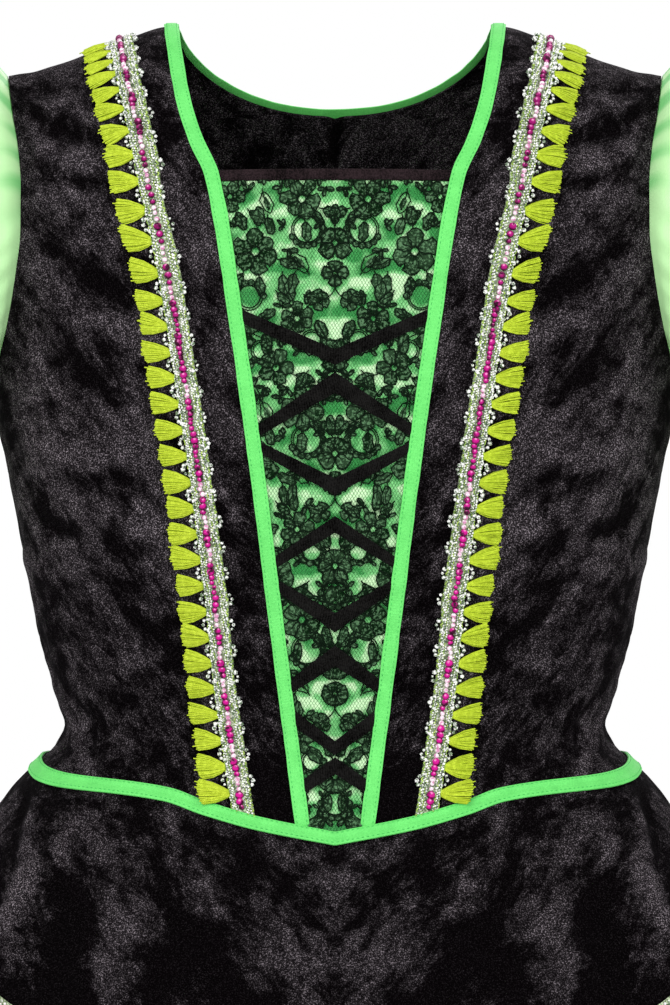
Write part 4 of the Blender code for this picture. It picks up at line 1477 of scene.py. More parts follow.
@dataclass(frozen=True)
class Tapes:
    """The neon green bias tapes, with a row of stitches near each edge."""

    cut: Cut
    peplum: Peplum
    width: float = 6.0
    waist_width: float = 5.6
    thickness: float = 1.1
    stitch_pitch: float = 2.1
    stitch_length: float = 1.2
    stitch_radius: float = 0.17
    stitch_in: float = 1.0
    steps: int = 200
    section: int = 9
    dive: float = 1.1

    def sew(self, node: str, rows: Sequence[Array]) -> None:
        """Sews rows of stitches on a node's tape.

        Args:
            node: The node.
            rows: The lines that the stitches follow.
        """
        sizes = {"Pitch": self.stitch_pitch, "Length": self.stitch_length, "Radius": self.stitch_radius}
        values = {name: size * MM for name, size in sizes.items()}
        grow(f"{node}_stitches", Growth.STITCHES, rows, BIAS_STITCH, values)

    def lay(self, node: str, middles: Array, normals: Array, lift: Number = REST) -> None:
        """Lays one tape with softly rolled edges in the place of a node, with its stitches.

        Args:
            node: The node that it replaces.
            middles: The line's points on the cloth.
            normals: The cloth's normals there.
            lift: How far its underside lies out of the cloth, or that for each point as a column.
        """
        across = unit(np.cross(normals, np.gradient(middles, axis=0)))
        u = np.linspace(-1, 1, self.section)[:, None, None]
        uneven = 1 + 0.03 * ripples(middles, 11.0, 3)[None, :, None]
        base = middles[None] + across[None] * u * uneven * self.width / 2
        rolled = 1 - 0.5 * np.abs(u) ** 5 - 0.16 * np.exp(-(((np.abs(u) - 0.7) / 0.1) ** 2))
        crown = lift + self.thickness * rolled
        shell(f"{node}_tape", base + normals[None] * crown, base + normals[None] * lift, BIAS, node)
        raised = normals * (lift + self.thickness * 0.86)
        out = self.width / 2 - self.stitch_in
        self.sew(node, [middles + across * out * way + raised for way in (-1, 1)])

    def surface_normals(self, turn: Array, level: Array) -> Array:
        """Finds the figure's outward normals.

        Args:
            turn: Turns from the centre front.
            level: Levels along the cloth.

        Returns:
            A unit normal for each place.
        """
        near, point = 1e-3, self.cut.figure.point
        around = point(turn + near, level) - point(turn - near, level)
        normal = unit(np.cross(around, point(turn, level + near) - point(turn, level - near)))
        middle = point(turn, level)
        middle[..., 2] = np.maximum(middle[..., 2] - self.cut.figure.chest, 0)
        return normal * np.sign(np.sum(normal * middle, -1))[..., None]

    def make_edges(self) -> None:
        """Lays the tapes of the front edges, with ends that dive under the waist's, and of the back neck."""
        cut = self.cut
        rows = np.linspace(0.002, 2.0, self.steps)
        turn = cut.turn_of_edge(cut.front_edge, rows, False)
        level = cut.row_level(rows, turn)
        above = level + cut.figure.chest - cut.waist(turn)
        lift = REST - self.dive * (1 - smooth(above, self.waist_width / 2, self.waist_width))[:, None]
        across = cut.back_neck_reach * np.sin(np.linspace(0, QUARTER, self.steps // 2))
        neck_level = cut.figure.cap_level(across, cut.back_neck_height(across))
        neck_turn = cut.figure.turn_at(across, neck_level, True)
        trims = ("front", turn, level, lift), ("back_neck", neck_turn, neck_level, REST)
        for trim, turn, level, lift in trims:
            for side in Side:
                place = side.value * turn, level
                points, normals = cut.figure.point(*place), self.surface_normals(*place)
                self.lay(f"{trim}_trim_{side.word}", points, normals, lift)

    def waist_grid(self, turn: Array) -> Array:
        """Finds a fine grid over the waist seam, on the bodice above it and the peplum below.

        Args:
            turn: A row of turns.

        Returns:
            Rows of points.
        """
        cut = self.cut
        ups = np.linspace(self.waist_width / 2, -self.waist_width / 2, self.section)[:, None]
        turn = turn[None, :]
        above = cut.figure.point(turn, cut.waist(turn) + np.maximum(ups, 0) - cut.figure.chest)
        fall = np.maximum(-ups, 0) / (cut.waist(turn) - self.peplum.hem_height(turn))
        below, _ = self.peplum.surface(*np.broadcast_arrays(turn, fall))
        return np.where((ups >= 0)[..., None], above, below)

    def make_waist(self) -> None:
        """Lays the tape of the waist: one front, and two backs that meet at the closure."""
        stretches = {"waist_trim_front": (-QUARTER, QUARTER)}
        for side in Side:
            stretches[f"waist_trim_back_{side.word}"] = (side.value * QUARTER, side.value * math.pi)
        edges = np.abs(np.linspace(-1, 1, self.section)[:, None, None]) ** 5
        crown = REST + self.thickness * (1 - 0.5 * edges)
        for node, ends in stretches.items():
            grid = self.waist_grid(np.linspace(*ends, self.steps))
            normal = facing_out(grid)
            shell(f"{node}_tape", grid + normal * crown, grid + normal * REST, BIAS, node)
            self.sew(node, [grid[i] + normal[i] * (REST + self.thickness * 0.94) for i in (1, -2)])

    def make(self) -> None:
        """Lays every tape."""
        self.make_edges()
        self.make_waist()


def petal(length: float, width: float, point: float, steps: int = 16, phase: float = 0.0) -> Array:
    """Draws one petal or leaf along +X from the origin, with a ragged edge.

    Args:
        length: Its length.
        width: Its greatest width.
        point: The power of its ends: low is round, high is pointed.
        steps: How many points its outline has.
        phase: Where its edge's waves start.

    Returns:
        A closed outline in the plane.
    """
    angle = np.linspace(0, 2 * math.pi, steps, endpoint=False)
    ragged = 1 + 0.13 * np.cos(6 * angle + phase) + 0.12 * np.cos(4 * angle - 2 * phase)
    x = length * (1 - np.cos(angle) * (0.96 + 0.04 * np.cos(4 * angle + phase))) / 2
    y = width / 2 * np.sign(np.sin(angle)) * np.abs(np.sin(angle)) ** point
    return np.stack((x, y * ragged), -1)


def put(shape: Array, degrees: float, origin: tuple[float, float]) -> Array:
    """Turns and moves a flat shape."""
    a = math.radians(degrees)
    return shape @ np.array(((math.cos(a), math.sin(a)), (-math.sin(a), math.cos(a)))) + np.array(origin)


@dataclass(frozen=True)
class Flower:
    """One lace flower, with leaves that point away from it."""

    across: float
    down: float
    radius: float
    petals: int
    turn: float
    leaves: tuple[float, ...] = ()


@dataclass(frozen=True)
class Leaf:
    """One leaf that stands alone, closed or with an open middle."""

    across: float
    down: float
    length: float
    turn: float
    is_open: bool = False


@dataclass(frozen=True)
class Sprig:
    """One sprig of three small leaves."""

    across: float
    down: float
    turn: float


@dataclass(frozen=True)
class Loop:
    """One loop of cord round an open place in the lace, with scallops between two angles."""

    across: float
    down: float
    radius: float
    scallops_from: float
    scallops_to: float


FLOWERS = tuple(Flower(*row) for row in (
    (13.5, 8.0, 9.4, 6, 10, (205, 262)), (43.0, 7.0, 7.0, 5, 40, (245,)),
    (32.5, 29.5, 10.4, 6, 22, (95, 262, 300, 200)), (0.0, 26.0, 7.6, 4, 45, (90,)), (0.0, 38.5, 5.6, 4, 0),
    (15.5, 57.0, 7.4, 6, 30, (75, 130)), (6.0, 50.0, 4.6, 4, 20), (39.0, 62.0, 8.8, 5, 10, (20, 150, 265)),
    (0.0, 72.0, 7.8, 6, 0, (62, 118, 270)), (24.0, 77.0, 8.6, 5, 40, (100, 200, 330)),
    (46.0, 82.0, 7.0, 5, 0, (150,)),
))
LEAVES = tuple(Leaf(*row) for row in (
    (29.5, 5.0, 9.5, 250, True), (11.0, 38.0, 10.5, 48, True), (21.5, 39.0, 8.5, 262), (16.5, 38.5, 9.0, 285),
    (35.0, 13.0, 8.0, 215), (27.5, 15.5, 7.5, 255), (44.0, 17.5, 6.5, 285), (8.5, 13.0, 6.5, 240),
    (28.0, 62.5, 9.5, 268), (34.0, 84.0, 8.5, 250, True), (11.5, 79.0, 8.5, 300), (48.0, 44.0, 8.0, 255),
    (23.5, 46.5, 6.5, 220),
))
SPRIGS = tuple(Sprig(*row) for row in (
    (6.5, -1.0, 205), (19.5, -0.5, 215), (29.0, -1.0, 200), (38.5, -0.5, 215), (50.5, 0.0, 205),
    (4.0, 3.5, 200), (22.0, 3.0, 280), (35.5, 4.5, 330), (51.0, 9.0, 250), (5.5, 17.5, 250),
    (21.0, 19.0, 310), (41.0, 19.0, 20), (19.0, 29.0, 190), (16.0, 33.5, 240), (21.5, 52.0, 20),
    (12.0, 47.5, 120), (29.0, 56.0, 110), (22.5, 65.0, 200), (50.0, 58.0, 230), (14.5, 70.0, 330),
    (13.0, 85.0, 10), (5.0, 80.5, 40), (30.0, 88.0, 190),
))
LOOPS = tuple(Loop(*row) for row in (
    (11.5, 20.5, 5.4, 110, 350), (35.0, 48.0, 4.6, 20, 180), (15.5, 57.0, 2.6, 0, 0),
    (9.5, 66.0, 3.6, 180, 360), (30.0, 70.0, 3.4, 200, 340), (46.0, 70.0, 4.2, 90, 250),
    (0.0, 83.0, 4.6, 180, 360),
))


@dataclass(frozen=True)
class Lace:
    """The lace of one side, drawn flat: its outlines give ways across and heights."""

    top: float
    flower_leaf: float = 8.4
    fullness: float = 0.96
    longest_stem: float = 22.0
    repeat: float = 86.0
    repeats: int = 4
    lean: float = 8.0
    draw: np.random.Generator = field(default_factory=lambda: np.random.default_rng(17))
    fills: list[Array] = field(default_factory=list)
    closed: list[Array] = field(default_factory=list)
    open_lines: list[Array] = field(default_factory=list)

    def leaf(
        self, start: float, length: float, turn: float, origin: tuple[float, float], is_open: bool
    ) -> None:
        """Draws a leaf with its rib.

        Args:
            start: How far from the origin it starts.
            length: Its length.
            turn: The way that it points, in degrees.
            origin: What it points away from.
            is_open: Whether its middle is open.
        """
        wide = length * self.draw.uniform(0.42, 0.58)
        leaf = petal(length, wide, 1.1, phase=self.draw.uniform(0, 6))
        shape = put(leaf + np.array((start, 0)), turn, origin)
        self.closed.append(shape)
        if is_open:
            small = leaf * 0.62 + np.array((start + 0.22 * length, 0))
            shape = put(small * np.array((1, 0.8)), turn, origin)
        self.fills.append(shape)
        x = np.linspace(start - 1.4, start + 0.85 * length, 6)
        self.open_lines.append(put(np.stack((x, 0.4 * np.sin(x)), -1), turn, origin))

    def flower(self, flower: Flower, top: float, lean: float) -> None:
        """Draws a flower and the leaves round it.

        Args:
            flower: The flower.
            top: The height at which its repeat begins.
            lean: How far the repeat's motifs are turned, in degrees.
        """
        centre = (flower.across, top - flower.down)
        radius, start = flower.radius, flower.radius * 0.15
        for k in range(flower.petals):
            length = self.fullness * self.draw.uniform(0.82, 1.08) * radius - start
            width = self.draw.uniform(1.15, 1.65) * self.fullness * radius * math.sin(math.pi / flower.petals)
            shape = petal(length, width, 0.75, phase=self.draw.uniform(0, 6)) + np.array((start, 0))
            shape[:, 1] *= 0.62 + 0.52 * shape[:, 0] / radius
            turn = flower.turn + lean + k * 360 / flower.petals + self.draw.normal(0, 5)
            shape = put(shape, turn, centre)
            self.fills.append(shape)
            self.closed.append(shape)
            x = np.linspace(start, start + 0.6 * length, 4)
            self.open_lines.append(put(np.stack((x, 0.5 * np.sin(x + k)), -1), turn, centre))
        heart = petal(radius * 0.36, radius * 0.36, 1.0, 10) - np.array((radius * 0.18, 0))
        self.closed.append(put(heart, 0, centre))
        for turn in flower.leaves:
            self.leaf(radius, self.flower_leaf, turn + lean, centre, False)

    def loop(self, loop: Loop, top: float) -> None:
        """Draws a loop of two cords, with its scallops.

        Args:
            loop: The loop.
            top: The height at which its repeat begins.
        """
        angle = np.linspace(0, 2 * math.pi, 26, endpoint=False)
        centre = (loop.across, top - loop.down)
        for reach in (loop.radius, loop.radius + 0.9):
            self.closed.append(reach * np.stack((np.cos(angle), np.sin(angle)), -1) + np.array(centre))
        bump = petal(2.6, 2.7, 0.8, 10) + np.array((loop.radius, 0))
        for degrees in np.arange(loop.scallops_from, loop.scallops_to, 120 / loop.radius):
            shape = put(bump, degrees, centre)
            self.fills.append(shape)
            self.closed.append(shape)

    def stem(self, one: Flower, two: Flower, top: float) -> None:
        """Draws a bent stem between two flowers.

        Args:
            one: The flower that it leaves.
            two: The flower that it reaches.
            top: The height at which their repeat begins.
        """
        start, end = (np.array((flower.across, top - flower.down)) for flower in (one, two))
        t = np.linspace(0, 1, 9)[:, None]
        bend = np.array((end[1] - start[1], start[0] - end[0])) * 0.22
        self.open_lines.append(start * (1 - t) + end * t + bend * np.sin(math.pi * t))

    def drawn(self) -> Lace:
        """Draws every repeat.

        Returns:
            This lace.
        """
        for repeat in range(self.repeats):
            top, lean = self.top - repeat * self.repeat, self.lean * repeat
            for flower in FLOWERS:
                self.flower(flower, top, lean)
            for leaf in LEAVES:
                self.leaf(0.0, leaf.length, leaf.turn, (leaf.across, top - leaf.down), leaf.is_open)
            for sprig in SPRIGS:
                for k, length in enumerate(self.draw.uniform(2.3, 3.9, 3)):
                    turn = sprig.turn + lean + 75 * k + self.draw.normal(0, 12)
                    self.leaf(0.4, length, turn, (sprig.across, top - sprig.down), False)
            for loop in LOOPS:
                self.loop(loop, top)
            for one, two in zip(FLOWERS, FLOWERS[2:]):
                if math.dist((one.across, one.down), (two.across, two.down)) <= self.longest_stem:
                    self.stem(one, two, top)
        return self


@dataclass(frozen=True)
class Stomacher:
    """The front insert: satin, the floral lace on it, and its binding."""

    cut: Cut
    # How far each motif's painted highlight and painted shade reach on the satin, and a shift of the whole
    # painted light.
    glow_reach: float = 5.0
    glow_bias: float = -0.02
    satin_face: float = -0.5
    satin_thickness: float = 0.8
    satin_inset: float = 0.2
    pucker: float = 0.14
    net_lift: float = -0.12
    net_thickness: float = 0.05
    petal_dome: float = 0.28
    petal_depth: float = 0.12
    cord_lift: float = 0.12
    rib_lift: float = 0.16
    cord_radius: float = 0.3
    binding_width: float = 4.5
    binding_depth: float = 1.4
    under_tape: float = 1.4
    bottom: float = -336.0

    def sheet(
        self, face: float, thickness: float, inset: float, pucker: float, steps: int
    ) -> tuple[Array, Array]:
        """Finds the grids of a cloth that covers the insert, from the waist seam to the binding.

        Args:
            face: How far out of the velvet's face it lies.
            thickness: Its thickness.
            inset: How far inside the velvet's edge it ends.
            pucker: The height of its soft puckers.
            steps: How many rows it has.

        Returns:
            The points of its face and of its underside.
        """
        cut = self.cut
        top = 1 + float(cut.figure.cap_level(0.0, cut.neckline - 1.5)) / cut.figure.shoulder_arc
        row = np.linspace(0.002, top, steps)
        turn = cut.turn_of_edge(lambda z: cut.front_edge(z) - inset, row, False)
        turns = turn[:, None] * np.linspace(-1, 1, steps * 3 // 8)
        level = cut.row_level(row[:, None], turns)
        flat = cut.figure.point(turns, level)[..., ::2]
        flat[..., 0] = np.abs(flat[..., 0])
        uneven = pucker * ripples(flat, 15.0, 21)
        outer = cut.figure.point(turns, level, face + uneven)
        return outer, cut.figure.point(turns, level, face - thickness + uneven)

    def paint_light_and_shade(self, grid: Array, fills: list[Array]) -> Array:
        """Paints light and shade on the puckered satin: a painted highlight above each motif, and painted
        shade below it.

        Args:
            grid: Points of the satin.
            fills: The outlines of the lace's petals and leaves.

        Returns:
            A value for each point, from -1 to 1.
        """
        place = np.stack((np.abs(grid[..., 0]), grid[..., 2]), -1).reshape(-1, 2)
        total, weight = np.zeros(len(place)), np.full(len(place), 0.02)
        for middle in (shape.mean(0) for shape in fills):
            away = (place - middle) / self.glow_reach
            near = np.exp(-2.2 * np.sum(away**2, -1))
            total += near * away[:, 1]
            weight += near
        soft = 0.3 * ripples(place, 8.0, 27)
        return np.tanh(1.9 * total / weight + soft + self.glow_bias).reshape(grid.shape[:-1])

    def make_satin(self, lace: Lace) -> None:
        """Makes the satin insert.

        Args:
            lace: The outlines of the lace over it.
        """
        outer, inner = self.sheet(self.satin_face, self.satin_thickness, self.satin_inset, self.pucker, 160)
        # The satin's painted light and shade, placed from the lace's motifs.
        painted_light = self.paint_light_and_shade(outer, lace.fills)
        satin = shell("satin_insert", outer, inner, INSERT_SATIN, "stomacher_satin", painted_light=painted_light)

    def place(self, flat: Array) -> Array:
        """Wraps flat lace points on the insert.

        Args:
            flat: Points as (across, height, lift).

        Returns:
            Points on the figure, held inside the insert's edges.
        """
        across, height, lift = np.moveaxis(flat, -1, 0)
        height = np.clip(height, self.bottom, self.cut.neckline - 2)
        edge = self.cut.front_edge(height) - self.under_tape
        return self.cut.front(np.clip(across, -edge, edge), height, lift)

    def both_sides(self, shapes: list[Array], lift: float) -> list[Array]:
        """Lifts flat outlines, mirrors them over the middle, and drops those past the edges.

        Args:
            shapes: The outlines of one side.
            lift: How far out of the velvet's face they lie.

        Returns:
            The outlines of both sides, as points of (across, height, lift).
        """
        lines = []
        for shape in shapes:
            across, height = shape.mean(0)
            if height >= self.bottom - 3 and across <= self.cut.front_edge(height) + 1:
                for way in (1, -1):
                    lines.append(np.column_stack((shape[:, 0] * way, shape[:, 1], np.full(len(shape), lift))))
        return lines

    def make_petals(self, fills: list[Array]) -> Piece:
        """Makes the filled petals and leaves as thin domed solids.

        Args:
            fills: Their outlines.

        Returns:
            The piece.
        """
        points, faces, start = [], [], 0
        under = np.array((0, 0, self.petal_depth))
        for flat in self.both_sides(fills, 0.0):
            n = len(flat)
            middle = flat.mean(0)
            inner = middle + (flat - middle) * 0.6 + np.array((0, 0, 0.22))
            crown = middle + np.array((0, 0, self.petal_dome))
            solid = flat, inner, flat - under, crown[None], middle[None] - under
            points.append(self.place(np.concatenate(solid)))
            a = np.arange(n)
            b = (a + 1) % n
            top, low = np.full(n, 3 * n), np.full(n, 3 * n + 1)
            bands = (a, b, b + n), (a, b + n, a + n), (a + n, b + n, top)
            bands += (b, a, a + 2 * n), (b, a + 2 * n, b + 2 * n), (b + 2 * n, a + 2 * n, low)
            faces += [np.stack(band, -1) + start for band in bands]
            start += 3 * n + 2
        return dress(mesh_object("lace_petals", np.concatenate(points), faces, PETAL), ())

    def make_lace(self, lace: Lace) -> None:
        """Makes the net, the petals and the cords of the lace.

        Args:
            lace: Its outlines.
        """
        sewn = [self.make_petals(lace.fills)]
        values = {"Radius": self.cord_radius * MM, "Sides": 3}
        raised = ("cords", lace.closed, self.cord_lift), ("ribs", lace.open_lines, self.rib_lift)
        for word, shapes, lift in raised:
            lines = [self.place(line) for line in self.both_sides(shapes, lift)]
            sewn.append(grow(f"lace_{word}", Growth.THREADS, lines, CORD, values, closed=word == "cords"))
        outer, inner = self.sheet(self.net_lift, self.net_thickness, self.under_tape, 0.0, 80)
        net = shell("lace_net", outer, inner, NET, "stomacher_lace")

    def make_binding(self) -> None:
        """Makes the black binding, rolled over the insert's top edge."""
        cut = self.cut
        reach = float(cut.front_edge(cut.neckline - self.binding_width)) - 1.5
        across = np.linspace(-reach, reach, 90)[None, :]
        v = np.linspace(0, 1, 9)[:, None]
        height = cut.neckline - self.binding_width * v + 0.5 * (1 - (across / reach) ** 2)
        outer = cut.front(across, height, 1.0 - 0.75 * np.abs(2 * v - 1) ** 4)
        inner = cut.front(across, height, -self.binding_depth)
        shell("insert_binding", outer, inner, BINDING, "stomacher_binding")

    def make(self) -> None:
        """Makes every piece of the insert."""
        lace = Lace(self.cut.neckline - 4).drawn()
        self.make_satin(lace)
        self.make_lace(lace)
        self.make_binding()


@dataclass(frozen=True)
class Ribbon:
    """One ribbon of the lacing, given by the heights of its edges at its ends and middle."""

    number: str
    end_top: float
    end_bottom: float
    middle_top: float
    middle_bottom: float


RIBBONS = tuple(Ribbon(*row) for row in (
    ("v1", -120.5, -126.1, -137.2, -143.6), ("a1", -168.5, -173.4, -146.5, -155.1),
    ("v2", -174.6, -179.2, -189.7, -196.7), ("a2", -222.3, -227.2, -205.2, -212.1),
    ("v3", -230.9, -235.8, -244.8, -252.9), ("a3", -272.5, -278.6, -258.2, -266.8),
    ("v4", -284.3, -291.3, -297.4, -303.2), ("a4", -313.3, -319.4, -304.0, -311.0),
))


@dataclass(frozen=True)
class Lacing:
    """The black zigzag lacing over the insert, with its ends under the green tapes."""

    cut: Cut
    lift: float = 0.9
    end_lift: float = 0.5
    thickness: float = 0.8
    under_tape: float = 2.0
    columns: int = 81
    section: int = 7

    def make(self) -> None:
        """Makes every ribbon."""
        share = np.linspace(-1, 1, self.columns)[None, :]
        v = np.linspace(0, 1, self.section)[:, None]
        near_end = smooth(np.abs(share), 0.72, 0.98)
        fold = 0.25 * np.exp(-((share / 0.03) ** 2))
        thick = self.thickness * (1 - 0.45 * np.abs(2 * v - 1) ** 5) * (1 - 0.25 * near_end) + fold
        lift = self.lift + (self.end_lift - self.lift) * near_end
        for ribbon in RIBBONS:
            reach = float(self.cut.front_edge((ribbon.end_top + ribbon.end_bottom) / 2)) - self.under_tape
            top = ribbon.middle_top + (ribbon.end_top - ribbon.middle_top) * np.abs(share)
            low = ribbon.middle_bottom + (ribbon.end_bottom - ribbon.middle_bottom) * np.abs(share)
            flat = np.broadcast_arrays(share * reach, top + (low - top) * v, lift + thick, lift)
            outer, inner = (self.cut.front(*flat[:2], out) for out in flat[2:])
            shell(f"ribbon_{ribbon.number}", outer, inner, RIBBON, f"lacing_{ribbon.number}")


@dataclass(frozen=True)
class Braid:
    """A beaded braid with looped edges, and the tassel fringe beside it."""

    cut: Cut
    width: float = 8.6
    scallop: float = 1.1
    waist_width: float = 5.6
    tucked: float = 1.0
    tassel_pitch: float = 10.6
    first_tassel: float = 4.8
    spill: float = 2.3
    thread_length: float = 10.9
    thread_radius: float = 0.29
    cord_radius: float = 0.3
    threads: int = 84
    root_fan: float = 1.0
    fan: float = 4.7
    rise: float = 0.5
    stray: float = 0.08
    band_lift: float = 1.0
    cords: tuple[tuple[float, ...], ...] = (
        # way across, sway, length of a sway, phase, lift
        (-4.15, 0.45, 2.1, -4.15, 1.3), (-2.4, 0.45, 2.1, -2.4, 1.3), (2.4, 0.45, 2.1, 2.4, 1.3),
        (4.15, 0.2, 3.3, 0.0, 1.1),
    )
    cord_step: float = 0.55
    bead_rows: tuple[float, ...] = (-3.7, -2.85, -1.95, 1.95, 2.85, 3.7)
    bead_pitch: float = 1.05
    bead_lift: float = 1.35
    loop_out: float = 4.1
    loop_half: float = 2.3
    jewel_group: float = 13.4
    jewel_steps: tuple[float, ...] = (0.0, 2.3, 2.6, 2.5, 2.1, 1.8)
    jewel_sizes: tuple[float, ...] = (2.6, 3.2, 3.2, 2.3, 2.1, 2.3)
    jewel_pale: tuple[int, ...] = (0, 0, 0, 1, 1, 1)
    jewel_lift: float = 1.6
    clear_share: float = 0.7

    def place(self, side: Side, level: Array, out: Array, lift: Array) -> Array:
        """Finds points beside the braid's line.

        Args:
            side: The dress's own side.
            level: Levels along the cloth.
            out: The way outward from the line.
            lift: The way out of the velvet.

        Returns:
            An array of points.
        """
        figure = self.cut.figure
        level, out, lift = np.broadcast_arrays(level, out, lift)
        turn = np.full(level.shape, 0.4)
        for _ in range(self.cut.rounds):
            turn = figure.turn_at(self.cut.braid_line(figure.point(turn, level)[..., 2]), level)
        turn = figure.turn_at(figure.point(turn, level)[..., 0] + out, level)
        return self.cut.velvet(side.value * turn, level, lift)

    def waist_level(self, height: float, out: Number) -> Array:
        """Finds the waist seam's level, a way outward from where the braid is at a height.

        Args:
            height: The height.
            out: The way outward.

        Returns:
            The level for each way.
        """
        chest = self.cut.figure.chest
        turn = self.cut.figure.turn_at(self.cut.braid_line(height) + out, self.cut.side_waist - chest)
        return self.cut.waist(turn) - chest

    def foot(self, out: Number) -> Array:
        """Finds the level just above the waist seam, under its tape, a way outward from the braid."""
        return self.waist_level(-327.0, out) + self.tucked

    def tassel_levels(self) -> Array:
        """Lists the level of each tassel.

        Returns:
            The levels, from the lowest up.
        """
        bottom = float(self.waist_level(-330.0, self.width / 2 + self.scallop))
        bottom += self.waist_width / 2 + 2 * REST
        count = int((self.cut.figure.shoulder_arc - bottom - self.first_tassel) / self.tassel_pitch) + 1
        return bottom + self.first_tassel + self.tassel_pitch * np.arange(count)

    def make_band(self, side: Side) -> None:
        """Makes the woven band that carries the beads, with its plaited cords.

        Args:
            side: The dress's own side.
        """
        top = self.cut.figure.shoulder_arc
        out = np.linspace(-self.width / 2, self.width / 2, 7)[:, None]
        foot = self.foot(out)
        level = foot + (top - foot) * np.linspace(0, 1, 160)
        outer = self.place(side, level, out, self.band_lift - 0.3 * np.abs(out / self.width * 2) ** 4)
        inner = self.place(side, level, out, REST - 0.2)
        shell(f"braid_band_{side.word}", outer, inner, SILVER_THREAD, f"braid_{side.word}")
        lines = []
        for out, sway, length, phase, lift in self.cords:
            level = np.arange(self.foot(out), top, self.cord_step)
            angle = 2 * math.pi * level / length + phase
            lines.append(self.place(side, level, out + sway * np.sin(angle), lift + 0.22 * np.cos(2 * angle)))
        values = {"Radius": self.cord_radius * MM, "Sides": 3}
        grow(f"braid_edge_{side.word}", Growth.THREADS, lines, LIME_EDGE, values)

    def make_beads(self, side: Side) -> None:
        """Strings the silver and the magenta beads, and the looped edges.

        Args:
            side: The dress's own side.
        """
        top = self.cut.figure.shoulder_arc
        clear_of_tape = self.waist_width / 2 - self.tucked + 0.3
        draw = np.random.default_rng(11)
        rows = []
        for out in self.bead_rows:
            level = np.arange(self.foot(out) + clear_of_tape, top - 0.4, self.bead_pitch)
            outs = out + 0.22 * np.sin(level * 1.1 + 2 * out) + draw.normal(0, 0.08, len(level))
            rows.append((level, outs, draw.uniform(0.85, 1.15, len(level))))
        loop = np.linspace(-0.1, math.pi + 0.1, 5)
        for middle in self.tassel_levels()[:-1] + self.tassel_pitch / 2:
            for way in (-1, 1):
                outs = way * (self.loop_out + draw.uniform(1.5, 2.2) * np.sin(loop))
                level = middle + self.loop_half * np.cos(loop)
                rows.append((level, outs, draw.uniform(1.5, 2.0, len(loop))))
        level, out, size = np.concatenate(rows, axis=1)
        points = self.place(side, level, out, self.bead_lift)
        values = {"Unevenness": 0.2, "Rounds": 1, "Seed": 4}
        grow(f"braid_beads_{side.word}", Growth.BEADS, [points], SILVER, values, sizes=size)
        rows = []
        for start in np.arange(self.foot(0.0) + clear_of_tape + 1.4, top - 3.0, self.jewel_group):
            level = start + np.cumsum(self.jewel_steps)
            size = np.array(self.jewel_sizes) * draw.uniform(0.88, 1.05, len(level))
            rows.append((level, size, np.array(self.jewel_pale) * (draw.uniform() < self.clear_share)))
        level, size, pale = np.concatenate(rows, axis=1)
        points = self.place(side, level, draw.normal(0, 0.18, len(level)), self.jewel_lift)
        values = {"Unevenness": 0.08, "Rounds": 2, "Tilt": 1.0, "Tumble": 0.3, "Seed": 8}
        for name, finish, kept in (("jewels", MAGENTA, pale == 0), ("clear", PALE_PINK, pale > 0)):
            kept = kept & (level < top)
            grow(f"braid_{name}_{side.word}", Growth.BEADS, [points[kept]], finish, values, sizes=size[kept])

    def make_tassels(self, side: Side) -> None:
        """Makes the tassels, each a fan of fine threads.

        Args:
            side: The dress's own side.
        """
        draw = np.random.default_rng(31)
        count = self.threads
        near = self.width / 2 + self.scallop - 1.0
        t = np.array((0.0, 0.22, 0.55, 1.0))
        lines = []
        for k, level in enumerate(self.tassel_levels()):
            fan = self.fan * draw.uniform(0.9, 1.05)
            rise = self.rise + draw.normal(0, 0.6)
            across = np.linspace(-1, 1, count) + draw.normal(0, 0.03, count)
            wide = self.root_fan + (fan - self.root_fan) * (1 - (1 - t) ** 1.8)
            reach = self.thread_length * draw.uniform(0.94, 1.0) * (1 - 0.05 * across**2)
            reach += draw.normal(0, 0.16, count)
            reach += (draw.random(count) < self.stray) * draw.uniform(0.3, 1.3, count)
            depth = draw.permutation(count) / count
            at = level + rise * t + across[:, None] * wide + draw.normal(0, 0.12, (count, len(t))) * t
            at = np.minimum(at, self.cut.figure.shoulder_arc - 0.2)
            dome = np.sqrt(np.maximum(1 - 0.75 * across**2, 0))[:, None]
            lift = 0.6 + depth[:, None] * dome * (0.7 + 1.3 * np.sin(math.pi * np.minimum(t, 0.8)))
            if k == 0:
                lift = lift + self.spill * t
            lines += list(self.place(side, at, near + reach[:, None] * t, lift))
        values = {"Radius": self.thread_radius * MM, "Sides": 3}
        grow(f"tassels_{side.word}", Growth.THREADS, lines, TASSEL, values, f"fringe_{side.word}")

    def make(self) -> None:
        """Makes both braids and both fringes."""
        for side in Side:
            self.make_band(side)
            self.make_beads(side)
            self.make_tassels(side)


